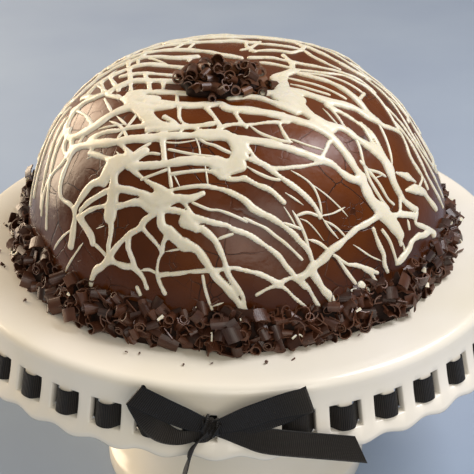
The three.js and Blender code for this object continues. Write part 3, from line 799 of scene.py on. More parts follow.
# Across the front, and the runs from there to the foot.
FRONT = [
    (2, 2.4, (-17, -68), (-12, -73), (-7, -75), (-2, -78), (2, -80)),
    (1.8, 1.8, (-31, -75), (-20, -79), (-6, -82)),
    (4.6, 6.2, (-53, -79), (-40, -82), (-32, -83), (-19, -83), (-12, -84), (-6, -85), (-1, -88)),
    (9, 6, (-6, -85), (0, -87), (7, -87)),
    (7, 5, (2, -88), (-3, -92)),
    (2.4, 2.8, (-30, -89), (-14, -89), (-8, -90), (-4, -92), (2, -94), (9, -93)),
    (2.6, 2.4, (9, -82), (14, -84), (20, -86), (27, -86), (34, -84), (40, -82), (50, -77)),
    (3.4, 3.2, (20, -86), (25, -89), (31, -92), (38, -95), (44, -98), (49, -101), (53, -105)),
    (2, 2, (10, -87), (16, -90), (23, -92), (28, -92)),
    (3.6, 2.8, (9, -93), (16, -96), (23, -98), (31, -103)),
    (1.8, 2, (36, -106), (40, -110), (46, -117), (49, -122), (54, -130)),
    (1.8, 1.8, (39, -108), (45, -105), (52, -105)),
    (2.2, 4, (-30, -97), (-14, -97), (-8, -98), (0, -100), (9, -104), (14, -108)),
    (4, 3, (14, -108), (19, -110), (26, -112), (38, -117), (43, -120), (49, -123), (54, -129)),
    (2, 2, (9, -113), (15, -115), (22, -117), (28, -120), (35, -123), (47, -129)),
    (1.8, 1.8, (31, -113), (44, -114)),
    (4.4, 5.5, (-61, -88), (-53, -92), (-46, -96), (-41, -101), (-37, -102)),
    (9, 9, (-37, -100)),
    (5.5, 4, (-37, -102), (-32, -102), (-26, -102), (-20, -103), (-13, -101)),
    (2.4, 3, (-25, -103), (-21, -108), (-18, -114)),
    (1.8, 1.8, (-19, -105), (-10, -109), (-3, -110), (12, -115)),
    (4.4, 3.6, (-62, -97), (-50, -99), (-44, -104), (-39, -106), (-32, -107), (-25, -109), (-20, -112)),
    (3.6, 3, (-20, -112), (-13, -114), (-6, -116), (0, -117), (4, -119), (12, -121), (19, -124),
     (26, -127)),
    (3, 3.2, (26, -127), (32, -130), (37, -134), (42, -137), (45, -139)),
    (7, 5, (-23, -114), (-17, -118)),
    (5, 4, (-33, -117), (-28, -121)),
    (4.6, 5, (-37, -108), (-37, -114), (-31, -121), (-26, -125)),
    (7, 7, (-25, -125)),
    (5, 4.6, (-26, -125), (-18, -128), (-13, -134), (-7, -142), (0, -148), (6, -154), (12, -160)),
    (4, 2.8, (-14, -118), (-7, -124), (-4, -129), (-1, -135), (1, -141), (6, -147), (11, -153), (12, -158)),
    (2, 2, (4, -121), (-6, -124)),
    (2.8, 2.6, (-44, -138), (-32, -139), (-19, -139), (-6, -139), (4, -138), (12, -139)),
    (2.6, 3.4, (12, -139), (20, -140), (28, -142), (34, -144)),
    (4.6, 4.6, (34, -144)),
    (2.8, 2, (34, -144), (27, -147), (20, -151)),
    (2.6, 1.8, (34, -144), (40, -146), (46, -149), (55, -152)),
    (3, 3, (34, -144), (38, -141), (44, -139), (52, -142)),
    (1.8, 2.2, (-15, -141), (-14, -148), (-12, -155), (-10, -160)),
    (3.8, 3.4, (-39, -107), (-47, -109), (-51, -112), (-58, -113), (-65, -115), (-70, -117), (-76, -120)),
    (6, 2.6, (-76, -121), (-83, -122), (-89, -122), (-94, -124), (-98, -127)),
    (4.2, 3, (-76, -121), (-71, -125), (-66, -128), (-61, -130), (-57, -134), (-55, -138), (-54, -143)),
    (3.4, 3.2, (-60, -115), (-61, -120), (-60, -125), (-59, -130)),
    (2.6, 2.6, (-60, -145), (-61, -141)),
    (2.8, 2.6, (-50, -112), (-46, -117), (-42, -122), (-39, -127)),
    (3.5, 3.2, (-34, -119), (-37, -122), (-39, -126)),
    (1.8, 2.8, (-39, -127), (-42, -130), (-44, -134), (-45, -138), (-44, -143), (-42, -148)),
    (1.8, 1.8, (-56, -133), (-50, -134), (-45, -137)),
]
# Down the right shoulder and side.
RIGHT_SIDE = [
    (5, 6, (51, -58), (57, -63), (64, -68), (69, -72), (74, -75)),
    (6, 7, (74, -75), (78, -80), (84, -84), (92, -85)),
    (9, 8, (92, -85), (98, -86), (105, -87), (110, -88)),
    (4.5, 6, (53, -52), (61, -51), (67, -53), (74, -54), (80, -54)),
    (6.5, 7, (80, -54), (86, -56), (91, -59)),
    (6, 3.4, (91, -59), (97, -65), (106, -68), (113, -67), (119, -64)),
    (3, 3, (103, -68), (106, -77)),
    (3.6, 4, (100, -83), (106, -78), (113, -73), (119, -69)),
    (3, 3.4, (120, -66), (121, -72), (131, -66), (141, -59)),
    (5.5, 5.5, (143, -59)),
    (3.6, 4.4, (140, -60), (132, -71), (127, -76), (122, -84), (121, -90), (116, -101)),
    (3, 3, (108, -88), (113, -92)),
    (2.4, 2.4, (66, -52), (70, -58), (74, -67), (80, -74), (89, -79), (97, -81)),
    (2.4, 2, (71, -66), (78, -69), (86, -72), (94, -76), (100, -76)),
    (2, 1.8, (76, -69), (84, -66), (90, -65)),
    (3, 3, (50, -37), (59, -39), (67, -41), (72, -43), (77, -49), (81, -54)),
    (2.6, 2, (52, -38), (57, -44), (62, -51)),
    (2.8, 3.4, (70, -40), (76, -43), (81, -48), (85, -54)),
    (2, 2, (80, -31), (85, -38), (90, -48), (93, -56)),
    (3.4, 2.8, (78, -29), (84, -31), (90, -28), (97, -25), (102, -29), (106, -35), (113, -37), (121, -37),
     (127, -39)),
    (3, 2.8, (92, -20), (101, -21), (110, -24), (117, -27), (127, -30), (138, -28), (150, -24)),
    (2.6, 2.4, (84, -12), (96, -14), (108, -17), (120, -19), (134, -18), (150, -12)),
    (2.6, 2.6, (74, 12), (84, 4), (95, -4), (106, -11), (118, -14), (132, -10)),
    (2.4, 2.4, (72, -3), (80, -8), (88, -16), (96, -24)),
    (2.4, 2.2, (80, 18), (92, 10), (106, 3), (122, -2), (140, -1)),
    (1.8, 5, (97, -57), (106, -52)),
    (5, 1.8, (106, -52), (114, -48)),
    (1.8, 7, (107, -61), (115, -53)),
    (7, 4, (115, -53), (124, -46)),
    (3, 5, (123, -47), (131, -45), (139, -42)),
    (2, 2, (117, -52), (120, -40), (118, -36)),
    (3.4, 5, (45, -139), (50, -136), (54, -131)),
    (5.5, 3.6, (54, -131), (60, -125), (64, -119), (69, -114), (77, -103)),
    (3.6, 3.6, (77, -103), (86, -94), (91, -87)),
    (5, 4, (54, -133), (60, -137), (65, -140), (71, -142), (77, -146)),
    (3, 2.4, (47, -139), (54, -142), (61, -147), (69, -152)),
    (2, 2, (48, -118), (55, -118), (63, -120)),
    (2.2, 2.8, (67, -121), (77, -122), (84, -120), (93, -118), (102, -116)),
    (2.6, 3, (91, -119), (98, -119), (103, -121)),
    (2.2, 2.4, (70, -122), (79, -126), (88, -129)),
    (5, 5.5, (92, -128), (98, -129)),
    (3, 2.8, (89, -97), (96, -102), (102, -105), (105, -109), (110, -111)),
    (2.2, 2.2, (95, -94), (103, -96), (110, -100), (115, -103)),
    (3, 3, (115, -103), (119, -96), (121, -89)),
    (2, 2, (114, -90), (118, -93)),
    (2.6, 2.6, (52, -64), (50, -71), (48, -76)),
    (2, 2, (113, -76), (117, -80)),
]
# Round the back of the crown.
BACK = [
    (4, 3.4, (-62, 38), (-46, 54), (-24, 64), (2, 69), (28, 66), (52, 56), (72, 40)),
    (3.4, 3, (-30, 53), (-4, 60), (24, 56)),
    (3, 3.6, (66, 30), (84, 34), (104, 44), (120, 58), (130, 72)),
    (3.6, 2.8, (84, 16), (106, 20), (126, 30), (142, 46)),
    (3, 2.6, (58, 46), (76, 52), (94, 64), (106, 80)),
    (2.8, 3.4, (104, -2), (104, 16), (98, 36), (86, 56), (74, 74)),
    (3.2, 2.6, (132, -8), (134, 14), (126, 38), (112, 62), (100, 78)),
    (5, 4, (92, 46), (97, 42)),
    (2.4, 2.4, (118, 8), (114, 30)),
    (3.4, 3, (-64, 26), (-84, 30), (-104, 42), (-118, 58), (-126, 72)),
    (3, 3.6, (-58, 40), (-76, 50), (-90, 64), (-98, 82)),
    (3.4, 2.6, (-88, 8), (-110, 10), (-130, 20), (-146, 36)),
    (3, 3, (-100, 0), (-104, 22), (-98, 46), (-84, 68), (-72, 80)),
    (2.6, 3.2, (-128, -10), (-132, 12), (-126, 38), (-112, 60)),
    (5, 4, (-98, 38), (-103, 45)),
    (2.6, 2.6, (-78, 18), (-74, 44)),
    (3, 2.6, (-40, 46), (-42, 60), (-50, 76)),
    (2.8, 2.8, (-16, 50), (-12, 66), (-12, 84)),
    (3, 2.4, (14, 50), (22, 68), (24, 84)),
    (2.8, 3, (38, 48), (48, 62), (52, 80)),
    (4.6, 3.6, (-10, 60), (-2, 64)),
]
# Fine threads between the strands.
THREADS = [
    (1.1, 1.1, (-37, -69), (-26, -72), (-14, -71)),
    (1.2, 1.2, (-18, -67), (-15, -75), (-14, -83)),
    (1.1, 1.1, (-12, -84), (-10, -98)),
    (1, 1, (-29, -88), (-25, -97)),
    (1, 0.7, (41, -109), (47, -110), (58, -116)),
    (1.2, 1.2, (-37, -127), (-23, -127)),
    (1.3, 1.3, (33, -86), (44, -90), (50, -96), (54, -104)),
    (0.9, 0.9, (44, -90), (57, -94), (70, -99)),
    (1.2, 1.2, (52, -105), (60, -101), (67, -95)),
    (1.3, 1.3, (54, -105), (60, -109), (67, -112)),
    (1.3, 1.3, (56, -106), (64, -107), (73, -110)),
    (1, 1, (31, -105), (36, -110), (40, -114)),
    (1, 1, (78, -111), (92, -111), (102, -109)),
    (1.3, 1.3, (-94, -104), (-104, -106), (-119, -108)),
    (1.3, 1.3, (30, -68), (41, -70), (50, -70)),
    (1.1, 1.1, (48, -40), (54, -47), (59, -52)),
    (1.4, 1.4, (-98, -93), (-110, -91), (-124, -90)),
    (1.3, 1.1, (82, -71), (87, -66)),
    (1.2, 1.2, (31, -98), (42, -102)),
    (1.7, 1.7, (-60, -42), (-54, -52)),
    (1.5, 1.5, (-71, -46), (-62, -49), (-55, -51)),
    (1.4, 1.2, (-75, -103), (-81, -102)),
    (1.2, 1.2, (-24, -159), (-19, -157)),
    (1.4, 1.4, (-10, -158), (-2, -156)),
    (1.3, 1.3, (110, -6), (118, -10), (128, -12), (138, -6)),
    (1.3, 1.3, (88, 4), (108, 2), (130, 4), (150, 8)),
    (1.2, 1, (-70, -62), (-80, -61)),
]
ROUTES = OVER_THE_TOP + LEFT_SIDE + FRONT + RIGHT_SIDE + BACK

# A strand is drawn at this share of the width that its route gives, before it swells and thins.
SLIMMED = 0.9
# Strands up to this width lie on the glaze as round threads, and wider ones run together into one sheet.
THIN = 2.5
# The sheet is worked out on a square grid of this pitch, which reaches this far from the crown's middle.
DRIZZLE_PITCH, DRIZZLE_REACH = 0.89, 165
# A strand's amount of chocolate is 1 along its middle, and falls to this at its edge.
DRIZZLE_EDGE = 0.5
# The amounts of crossing strands are added at this power: the higher, the less they swell where they meet.
MERGING = 3.2
# A strand is this share of its width high, up to the width at which it flattens.
DRIZZLE_RISE, FLATTENS_FROM = 0.3, 4.5
# How deep the edge of the sheet and its closed underside lie in the glaze.
EDGE_SUNK, UNDERSIDE_SUNK = 0.1, 0.5


def flowed(route, step):
    """A route as places a step apart on the unrolled shell, with a width that swells and thins as it ran."""
    first_width, last_width, *stops = route
    run = smooth_route(stops, 24) if len(stops) > 1 else np.array(stops * 2, float)
    reach = np.concatenate([[0], np.cumsum(np.linalg.norm(np.diff(run, axis=0), axis=1))])
    places = np.linspace(0, reach[-1], max(2, int(reach[-1] / step) + 1))
    across, forward = np.interp(places, reach, run[:, 0]), np.interp(places, reach, run[:, 1])
    start = float(np.sum(run[0]))
    swell = 1 + 0.11 * np.sin(places / 4.3 + start) + 0.08 * np.sin(places / 1.9 + 2 * start)
    return across, forward, SLIMMED * np.linspace(first_width, last_width, len(places)) * swell


def drizzle_field(routes, across, forward):
    """How much chocolate lies at each place of a grid, and how wide the strands there are."""
    amount, widths, weight = (np.zeros(across.shape) for _ in range(3))
    surface = on_shell(across, forward) / MM
    start = across[0, 0]
    for route in routes:
        run_across, run_forward, run_width = flowed(route, 0.8)
        centres = on_shell(run_across, run_forward) / MM
        strand, wide = np.zeros(across.shape), np.zeros(across.shape)
        for k in range(len(centres)):
            room = 1.6 * run_width[k]
            near = tuple(slice(*(np.clip(np.array([middle - room, middle + room]) - start, 0, None)
                                 / DRIZZLE_PITCH).astype(int)) for middle in (run_forward[k], run_across[k]))
            gap = np.sum((surface[near] - centres[k]) ** 2, axis=-1)
            here = DRIZZLE_EDGE ** (4 * gap / run_width[k] ** 2)
            wide[near] = np.where(here > strand[near], run_width[k], wide[near])
            strand[near] = np.maximum(strand[near], here)
        amount += strand ** MERGING
        widths += strand ** MERGING * wide
        weight += strand ** MERGING
    return amount ** (1 / MERGING), widths / np.maximum(weight, 1e-6)


def grid_triangles(count):
    """Two triangles for each cell of a square grid of points."""
    corner = (np.arange(count - 1)[:, None] * count + np.arange(count - 1)).ravel()
    lower = np.stack([corner, corner + 1, corner + count + 1], 1)
    upper = np.stack([corner, corner + count + 1, corner + count], 1)
    return np.vstack([lower, upper])


def white_chocolate():
    """Set white chocolate, drizzled: ivory, smooth and satin, and light goes a little way into it."""
    material, tree, place = new_material("set_white_chocolate")
    clouds = add(tree, "ShaderNodeTexNoise", {"Vector": place, "Scale": 1000 / 14, "Detail": 3})
    smears = add(tree, "ShaderNodeTexNoise", {"Vector": place, "Scale": 1000 / 4, "Detail": 3})
    finish = add(tree, "ShaderNodeBsdfPrincipled", {
        "Base Color": add(tree, "ShaderNodeValToRGB", {"Fac": clouds}, [(0.3, "#ddd5bc"), (0.7, "#e7e1cf")]),
        "Roughness": add(tree, "ShaderNodeMapRange", {
            "Value": smears, "From Min": 0.3, "From Max": 0.7, "To Min": 0.22, "To Max": 0.34}),
        "Subsurface Weight": 0.25, "Subsurface Radius": (0.9, 0.7, 0.4), "Subsurface Scale": 1.5 * MM,
        "IOR": 1.46,
    })
    add(tree, "ShaderNodeOutputMaterial", {"Surface": finish})
    return material


WHITE_CHOCOLATE = white_chocolate()


def turned_to_back(routes):
    """The same hand went on round the back, so what lies low in front is repeated there, turned round."""
    low, shift_across, shift_forward = -58, 4, 6
    return [(first, last, *[(-across + shift_across, -forward + shift_forward) for across, forward in stops])
            for first, last, *stops in routes if max(forward for _, forward in stops) < low]


def drizzle():
    """A smooth sheet with a lens-shaped section wherever enough chocolate lies, closed underneath.

    A grid triangle with one corner in the chocolate, its tip, is cut down to a smaller triangle. One with a
    corner outside the chocolate, its gap, is cut to two triangles."""
    line = np.arange(-DRIZZLE_REACH, DRIZZLE_REACH, DRIZZLE_PITCH)
    across, forward = np.meshgrid(line, line)
    thick = [route for route in ROUTES if max(route[:2]) > THIN]
    amount, width = drizzle_field(thick + turned_to_back(thick), across, forward)
    amount[np.hypot(across, forward) > DRIZZLE_REACH - 2] = 0
    amount = amount.ravel()
    inside = amount > DRIZZLE_EDGE
    triangles = grid_triangles(len(line))
    filled = inside[triangles].sum(1)
    whole = triangles[filled == 3]

    def lead_first(chosen, wanted):
        """The corners of each triangle, turned round until the one that differs comes first."""
        lead = np.argmax(inside[chosen] == wanted, axis=1)
        rows = np.arange(len(chosen))
        return [chosen[rows, (lead + k) % 3] for k in range(3)]

    tip, tip_next, tip_last = lead_first(triangles[filled == 1], True)
    gap, gap_next, gap_last = lead_first(triangles[filled == 2], False)
    ends = ((tip, tip_next), (tip, tip_last), (gap_next, gap), (gap_last, gap))
    cut_lines = np.vstack([np.stack(pair, 1) for pair in ends])
    borders, which = np.unique(cut_lines, axis=0, return_inverse=True)
    which = which.ravel() + len(amount)
    cuts = np.split(which, np.cumsum([len(tip), len(tip), len(gap)]))
    top = np.vstack([
        whole,
        np.stack([tip, cuts[0], cuts[1]], 1),
        np.stack([cuts[2], gap_next, gap_last], 1),
        np.stack([cuts[2], gap_last, cuts[3]], 1),
    ])
    full, bare = borders.T
    share = ((DRIZZLE_EDGE - amount[bare]) / (amount[full] - amount[bare]))[:, None]
    flat = np.stack([across.ravel(), forward.ravel()], 1)
    border_flat = flat[bare] + share * (flat[full] - flat[bare])
    fullness = np.clip((amount - DRIZZLE_EDGE) / DRIZZLE_EDGE, 0, 1)
    height = DRIZZLE_RISE * np.minimum(width.ravel(), FLATTENS_FROM) * np.sqrt(fullness * (2 - fullness))
    upper = on_shell(*flat.T, height)
    border = on_shell(*border_flat.T, -EDGE_SUNK)
    lower = on_shell(*flat.T, -UNDERSIDE_SUNK)
    bottom = top[:, ::-1].copy()
    bottom[bottom < len(amount)] += len(amount) + len(border)
    points = np.vstack([upper, border, lower])
    faces = np.vstack([top, bottom])
    used, faces = np.unique(faces, return_inverse=True)
    made = piece("white_chocolate_drizzle", points[used], faces.reshape(-1, 3), WHITE_CHOCOLATE)
    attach(made, "root")


drizzle()


def growing_tree(name, inputs):
    """A Geometry Nodes tree with named inputs, each of a kind, and the sockets where they come in."""
    tree = bpy.data.node_groups.new(name, "GeometryNodeTree")
    for label, kind in inputs.items():
        tree.interface.new_socket(label, in_out="INPUT", socket_type="NodeSocket" + kind)
    tree.interface.new_socket("Geometry", in_out="OUTPUT", socket_type="NodeSocketGeometry")
    return tree, add(tree, "NodeGroupInput").outputs


def thread_tree():
    """Sweeps a small round section along every line of a mesh, as thick as the line says."""
    tree, given = growing_tree("chocolate_threads", {
        "Lines": "Geometry", "Sides": "Int", "Material": "Material"})
    curve = add(tree, "GeometryNodeMeshToCurve", {"Mesh": given["Lines"]})
    thickness = add(tree, "GeometryNodeInputNamedAttribute", {"Name": "thickness"}, data_type="FLOAT")
    section = add(tree, "GeometryNodeCurvePrimitiveCircle", {"Resolution": given["Sides"], "Radius": 1.0})
    tube = add(tree, "GeometryNodeCurveToMesh", {
        "Curve": curve, "Profile Curve": section, "Scale": thickness, "Fill Caps": True})
    smooth = add(tree, "GeometryNodeSetShadeSmooth", {"Geometry": tube, "Shade Smooth": True})
    single = add(tree, "GeometryNodeRealizeInstances", {"Geometry": smooth})
    coated = add(tree, "GeometryNodeSetMaterial", {"Geometry": single, "Material": given["Material"]})
    add(tree, "NodeGroupOutput", {"Geometry": coated})
    return tree


def grown(name, base, tree, values):
    """Runs a Geometry Nodes tree on a base object and keeps the result as one plain mesh piece."""
    modifier = base.modifiers.new("grow", "NODES")
    modifier.node_group = tree
    sockets = {item.name: item.identifier for item in tree.interface.items_tree if item.in_out == "INPUT"}
    for key, value in values.items():
        modifier[sockets[key]] = value
    bpy.context.view_layer.update()
    shape = base.evaluated_get(bpy.context.evaluated_depsgraph_get())
    mesh = bpy.data.meshes.new_from_object(shape)
    base.modifiers.remove(modifier)
    mesh.name = name
    made = bpy.data.objects.new(name, mesh)
    bpy.context.scene.collection.objects.link(made)
    return made


FINER_THREADS = 18


def threads():
    """The strands too thin to run together: the ones set out above and a scatter of finer ones between.

    A strand thins towards its ends, and the wider it is, the deeper it sinks into the glaze."""
    draw = np.random.default_rng(21)
    routes = THREADS + [route for route in ROUTES if max(route[:2]) <= THIN]
    routes += turned_to_back(routes)
    for _ in range(FINER_THREADS):
        azimuth, reach = draw.uniform(0, math.pi), draw.uniform(55, 140)
        across, forward = reach * math.cos(azimuth), reach * math.sin(azimuth)
        heading = draw.normal(-0.45 if across > 0 else 0.35, 0.35)
        length = draw.uniform(12, 34)
        bend = draw.uniform(-0.16, 0.16)
        stops = [(across + share * length * math.cos(heading + share * bend),
                  forward + share * length * math.sin(heading + share * bend)) for share in (-0.5, 0, 0.5)]
        width = draw.uniform(0.6, 1.1)
        routes.append((width, width, *stops))
    points, edges, thickness = [], [], []
    for route in routes:
        across, forward, width = flowed(route, 1.3)
        from_end = np.minimum(np.arange(len(across)), np.arange(len(across))[::-1])
        radius = width / 2 * np.minimum(1, np.where(width > 1.6, 0.7, 0.3) + from_end / 4)
        sunk = np.interp(width, (1.0, 2.2), (-0.2, 0.3))
        edges += [(len(points) + k, len(points) + k + 1) for k in range(len(across) - 1)]
        points.extend(on_shell(across, forward, -sunk * radius))
        thickness.extend(radius * MM)
    lines = piece("thread_lines", points, [], WHITE_CHOCOLATE)
    lines.data.edges.add(len(edges))
    lines.data.edges.foreach_set("vertices", np.array(edges, np.int32).ravel())
    lines.data.attributes.new("thickness", "FLOAT", "POINT").data.foreach_set("value", thickness)
    made = grown("white_chocolate_threads", lines, thread_tree(), {"Sides": 8, "Material": WHITE_CHOCOLATE})
    bpy.data.objects.remove(lines)
    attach(made, "root")


threads()

# ---- Chocolate curls ------------------------------------------------------------------------------
# Chocolate shaved off a block with a peeler, so each shaving rolls up as it leaves the blade. Dark shavings
# are pressed by the handful round the foot of the cake, and milk ones dropped in a small heap on its crown.


def roll(name, turns, inside, outside, length, steps, thickness=0.6, taper=0.0):
    """One shaving rolled about its own axis, from an inner to an outer radius. Taper makes it a cone.

    The UV map runs round the roll and along it in metres; the attribute cut_edge marks the bare edges."""
    angle = np.linspace(0, turns * 2 * math.pi, steps + 1)
    radius = np.linspace(inside, outside, steps + 1)
    reach = length / 2 * (1 + 0.08 * np.sin(angle * 1.7))
    points, uv = [], []
    for k in range(steps + 1):
        for shift in (thickness / 2, -thickness / 2):
            for end in (-1, 1):
                ring = (radius[k] + shift) * (1 + taper * end)
                points.append((ring * math.cos(angle[k]), ring * math.sin(angle[k]), end * reach[k]))
                uv.append((angle[k] * radius[k] * MM, end * reach[k] * MM))
    faces, edges = [], []
    for k in range(steps):
        here, there = 4 * k, 4 * (k + 1)
        faces += [(here, there, there + 1, here + 1), (here + 2, here + 3, there + 3, there + 2)]
        faces += [(here, here + 2, there + 2, there), (here + 1, there + 1, there + 3, here + 3)]
        edges += [0.0, 0.0, 1.0, 1.0]
    faces += [(0, 1, 3, 2), (4 * steps, 4 * steps + 2, 4 * steps + 3, 4 * steps + 1)]
    edges += [1.0, 1.0]
    mesh = smooth_mesh(name, np.array(points) * MM, faces, uv)
    mesh.set_sharp_from_angle(angle=math.radians(45))
    mesh.attributes.new("cut_edge", "FLOAT", "FACE").data.foreach_set("value", edges)
    return bpy.data.objects.new(name, mesh)


def collection_of(name, shapes):
    """A collection of shapes to scatter, kept out of the scene."""
    made = bpy.data.collections.new(name)
    for shape in shapes:
        made.objects.link(shape)
    return made


CURLS = collection_of("curl_shapes", [
    roll("curl_tight", 1.75, 1.2, 3.0, 7.5, 14),
    roll("curl_wide", 1.35, 2.1, 3.1, 7.5, 12),
    roll("curl_open", 0.75, 2.9, 3.2, 7.0, 7),
    roll("curl_cone", 1.3, 1.6, 2.6, 6.5, 11, taper=0.24),
    roll("chip_bent", 0.33, 4.6, 5.2, 7.0, 4),
    roll("chip_curved", 0.5, 3.0, 3.6, 6.0, 5),
    roll("chip_flat", 0.2, 6.5, 7.0, 6.0, 3),
    roll("chip_small", 0.4, 2.4, 2.8, 4.2, 4),
    roll("chip_long", 0.28, 3.6, 4.0, 9.0, 4, taper=0.12),
])
TUBES = collection_of("tube_shapes", [
    roll("tube_tight", 1.7, 1.9, 3.2, 7.5, 15),
    roll("tube_wide", 1.2, 2.7, 3.3, 8.0, 12),
    roll("tube_single", 1.04, 2.9, 3.1, 7.0, 11),
    roll("tube_cone", 1.3, 2.3, 3.1, 8.0, 12, taper=0.2),
    roll("tube_open", 0.8, 3.0, 3.3, 7.0, 8),
    roll("tube_chip", 0.4, 3.2, 3.6, 6.5, 5),
])
SLIVERS = collection_of("sliver_shapes", [
    roll("sliver_long", 0.22, 1.3, 1.8, 4.6, 3, thickness=0.7, taper=0.2),
    roll("sliver_short", 0.3, 0.9, 1.6, 2.6, 3, thickness=0.8, taper=-0.3),
    roll("strand_bent", 0.3, 4.0, 6.0, 1.0, 7, thickness=0.8),
    roll("strand_curled", 0.55, 1.8, 3.0, 0.9, 8, thickness=0.7),
])
CRUMBS = collection_of("crumb_shapes", [
    roll("crumb_bent", 0.4, 1.0, 1.2, 1.8, 3),
    roll("crumb_flat", 0.2, 2.0, 2.2, 1.4, 2),
    roll("crumb_long", 0.5, 0.5, 0.7, 2.6, 3),
])


def scatter_tree():
    """Strews shapes from a collection over a surface: where, how close, which way up and how large."""
    tree, given = growing_tree("strewn_pieces", {
        "Surface": "Geometry", "Shapes": "Collection", "Spacing": "Float", "Density": "Float",
        "Smallest": "Float", "Largest": "Float", "Lift": "Float", "Seed": "Int",
        "Least Turn": "Vector", "Most Turn": "Vector", "Material": "Material"})
    spots = add(tree, "GeometryNodeDistributePointsOnFaces", {
        "Mesh": given["Surface"], "Distance Min": given["Spacing"], "Density Max": given["Density"],
        "Seed": given["Seed"]}, distribute_method="POISSON")
    rise = add(tree, "FunctionNodeRandomValue", {2: 0.0, 3: given["Lift"], "Seed": 3}, data_type="FLOAT")
    outward = add(tree, "ShaderNodeVectorMath", {0: spots.outputs["Normal"], "Scale": rise},
                  operation="SCALE")
    placed = add(tree, "GeometryNodeSetPosition", {"Geometry": spots.outputs["Points"], "Offset": outward})
    turn = add(tree, "FunctionNodeRandomValue", {
        "Min": given["Least Turn"], "Max": given["Most Turn"], "Seed": 5}, data_type="FLOAT_VECTOR")
    size = add(tree, "FunctionNodeRandomValue", {2: given["Smallest"], 3: given["Largest"], "Seed": 8},
               data_type="FLOAT")
    shapes = add(tree, "GeometryNodeCollectionInfo", {
        "Collection": given["Shapes"], "Separate Children": True, "Reset Children": True})
    strewn_shapes = add(tree, "GeometryNodeInstanceOnPoints", {
        "Points": placed, "Instance": shapes, "Pick Instance": True, "Rotation": turn, "Scale": size})
    shade = add(tree, "FunctionNodeRandomValue", {2: 0.0, 3: 1.0, "Seed": 11}, data_type="FLOAT")
    toned = add(tree, "GeometryNodeStoreNamedAttribute", {
        "Geometry": strewn_shapes, "Name": "tone", "Value": shade}, data_type="FLOAT", domain="INSTANCE")
    single = add(tree, "GeometryNodeRealizeInstances", {"Geometry": toned})
    coated = add(tree, "GeometryNodeSetMaterial", {"Geometry": single, "Material": given["Material"]})
    add(tree, "NodeGroupOutput", {"Geometry": coated})
    return tree


SCATTER = scatter_tree()
# The lines that the blade leaves are this far apart, coarser than the real ones so that they show.
BLADE_LINE = 0.7


def shaved_chocolate(name, dark, middle, light):
    """Chocolate, shaved: a dull satin, each curl its own brown, ribbed by the blade, paler on its bare edges.
    """
    material, tree, place = new_material(name)
    tone = add(tree, "ShaderNodeAttribute", attribute_name="tone").outputs["Fac"]
    clouds = add(tree, "ShaderNodeTexNoise", {"Vector": place, "Scale": 1000 / 5, "Detail": 3})
    clouded = add(tree, "ShaderNodeMath", {0: tone, 1: clouds}, operation="ADD")
    brown = add(tree, "ShaderNodeMapRange", {"Value": clouded, "From Min": 0.3, "From Max": 1.7})
    colour = add(tree, "ShaderNodeValToRGB", {"Fac": brown}, [(0, dark), (0.5, middle), (1, light)])
    edge = add(tree, "ShaderNodeAttribute", attribute_name="cut_edge").outputs["Fac"]
    pale = add(tree, "ShaderNodeMath", {0: edge, 1: 0.4}, operation="MULTIPLY")
    smears = add(tree, "ShaderNodeTexNoise", {"Vector": place, "Scale": 1000 / 3, "Detail": 3})
    around = add(tree, "ShaderNodeSeparateXYZ", {"Vector": add(tree, "ShaderNodeUVMap")}).outputs["X"]
    lines = add(tree, "ShaderNodeMath", {0: around, 1: 1000 / BLADE_LINE}, operation="MULTIPLY")
    drawn = add(tree, "ShaderNodeTexNoise", {"W": lines, "Scale": 1, "Detail": 1}, noise_dimensions="1D")
    finish = add(tree, "ShaderNodeBsdfPrincipled", {
        "Base Color": add(tree, "ShaderNodeMixRGB", {
            "Fac": pale, "Color1": colour, "Color2": linear("#7a5440")}),
        "Roughness": add(tree, "ShaderNodeMapRange", {
            "Value": smears, "From Min": 0.3, "From Max": 0.7, "To Min": 0.3, "To Max": 0.44}),
        "Normal": add(tree, "ShaderNodeBump", {"Height": drawn, "Strength": 0.5, "Distance": 0.25 * MM}),
        "IOR": 1.5,
    })
    add(tree, "ShaderNodeOutputMaterial", {"Surface": finish})
    return material


SHAVED_CHOCOLATE = shaved_chocolate("shaved_dark_chocolate", "#231109", "#3d2114", "#5a3624")
SHAVED_MILK_CHOCOLATE = shaved_chocolate("shaved_milk_chocolate", "#2a150a", "#4e2d1a", "#7c553a")


def shavings_in_shadow():
    """Chocolate shavings deep in the heap, seen only as dark gaps: rough, dull, and painted nearly black as
    the shade there.
    """
    material, tree, place = new_material("shavings_in_shadow")
    lumps = add(tree, "ShaderNodeTexNoise", {"Vector": place, "Scale": 1000 / 5, "Detail": 3})
    finish = add(tree, "ShaderNodeBsdfPrincipled", {
        "Base Color": add(tree, "ShaderNodeValToRGB", {"Fac": lumps}, [(0.35, "#120804"), (0.65, "#26130a")]),
        "Normal": add(tree, "ShaderNodeBump", {"Height": lumps, "Strength": 0.8, "Distance": 1.2 * MM}),
        "Roughness": 0.8, "Specular IOR Level": 0.2,
    })
    add(tree, "ShaderNodeOutputMaterial", {"Surface": finish})
    return material


SHAVINGS_IN_SHADOW = shavings_in_shadow()
RING_HEIGHT, RING_RADIUS, RING_BACK_RISE = 24.5, 126.0, 7.0
RING_INSIDE, RING_REST = 110.0, 0.2
# How far inside the heap's outline the core, the bed of the curls and that of the white slivers lie.
CORE_IN, CURLS_IN, SLIVERS_IN = 5.4, 3.4, 0.6


def swell(azimuth, turns_a, turns_b, shift):
    """A slow uneven swell of about -1 to 1 round the heap."""
    return 0.6 * np.sin(turns_a * azimuth + shift) + 0.4 * np.sin(turns_b * azimuth + 2.3 * shift)


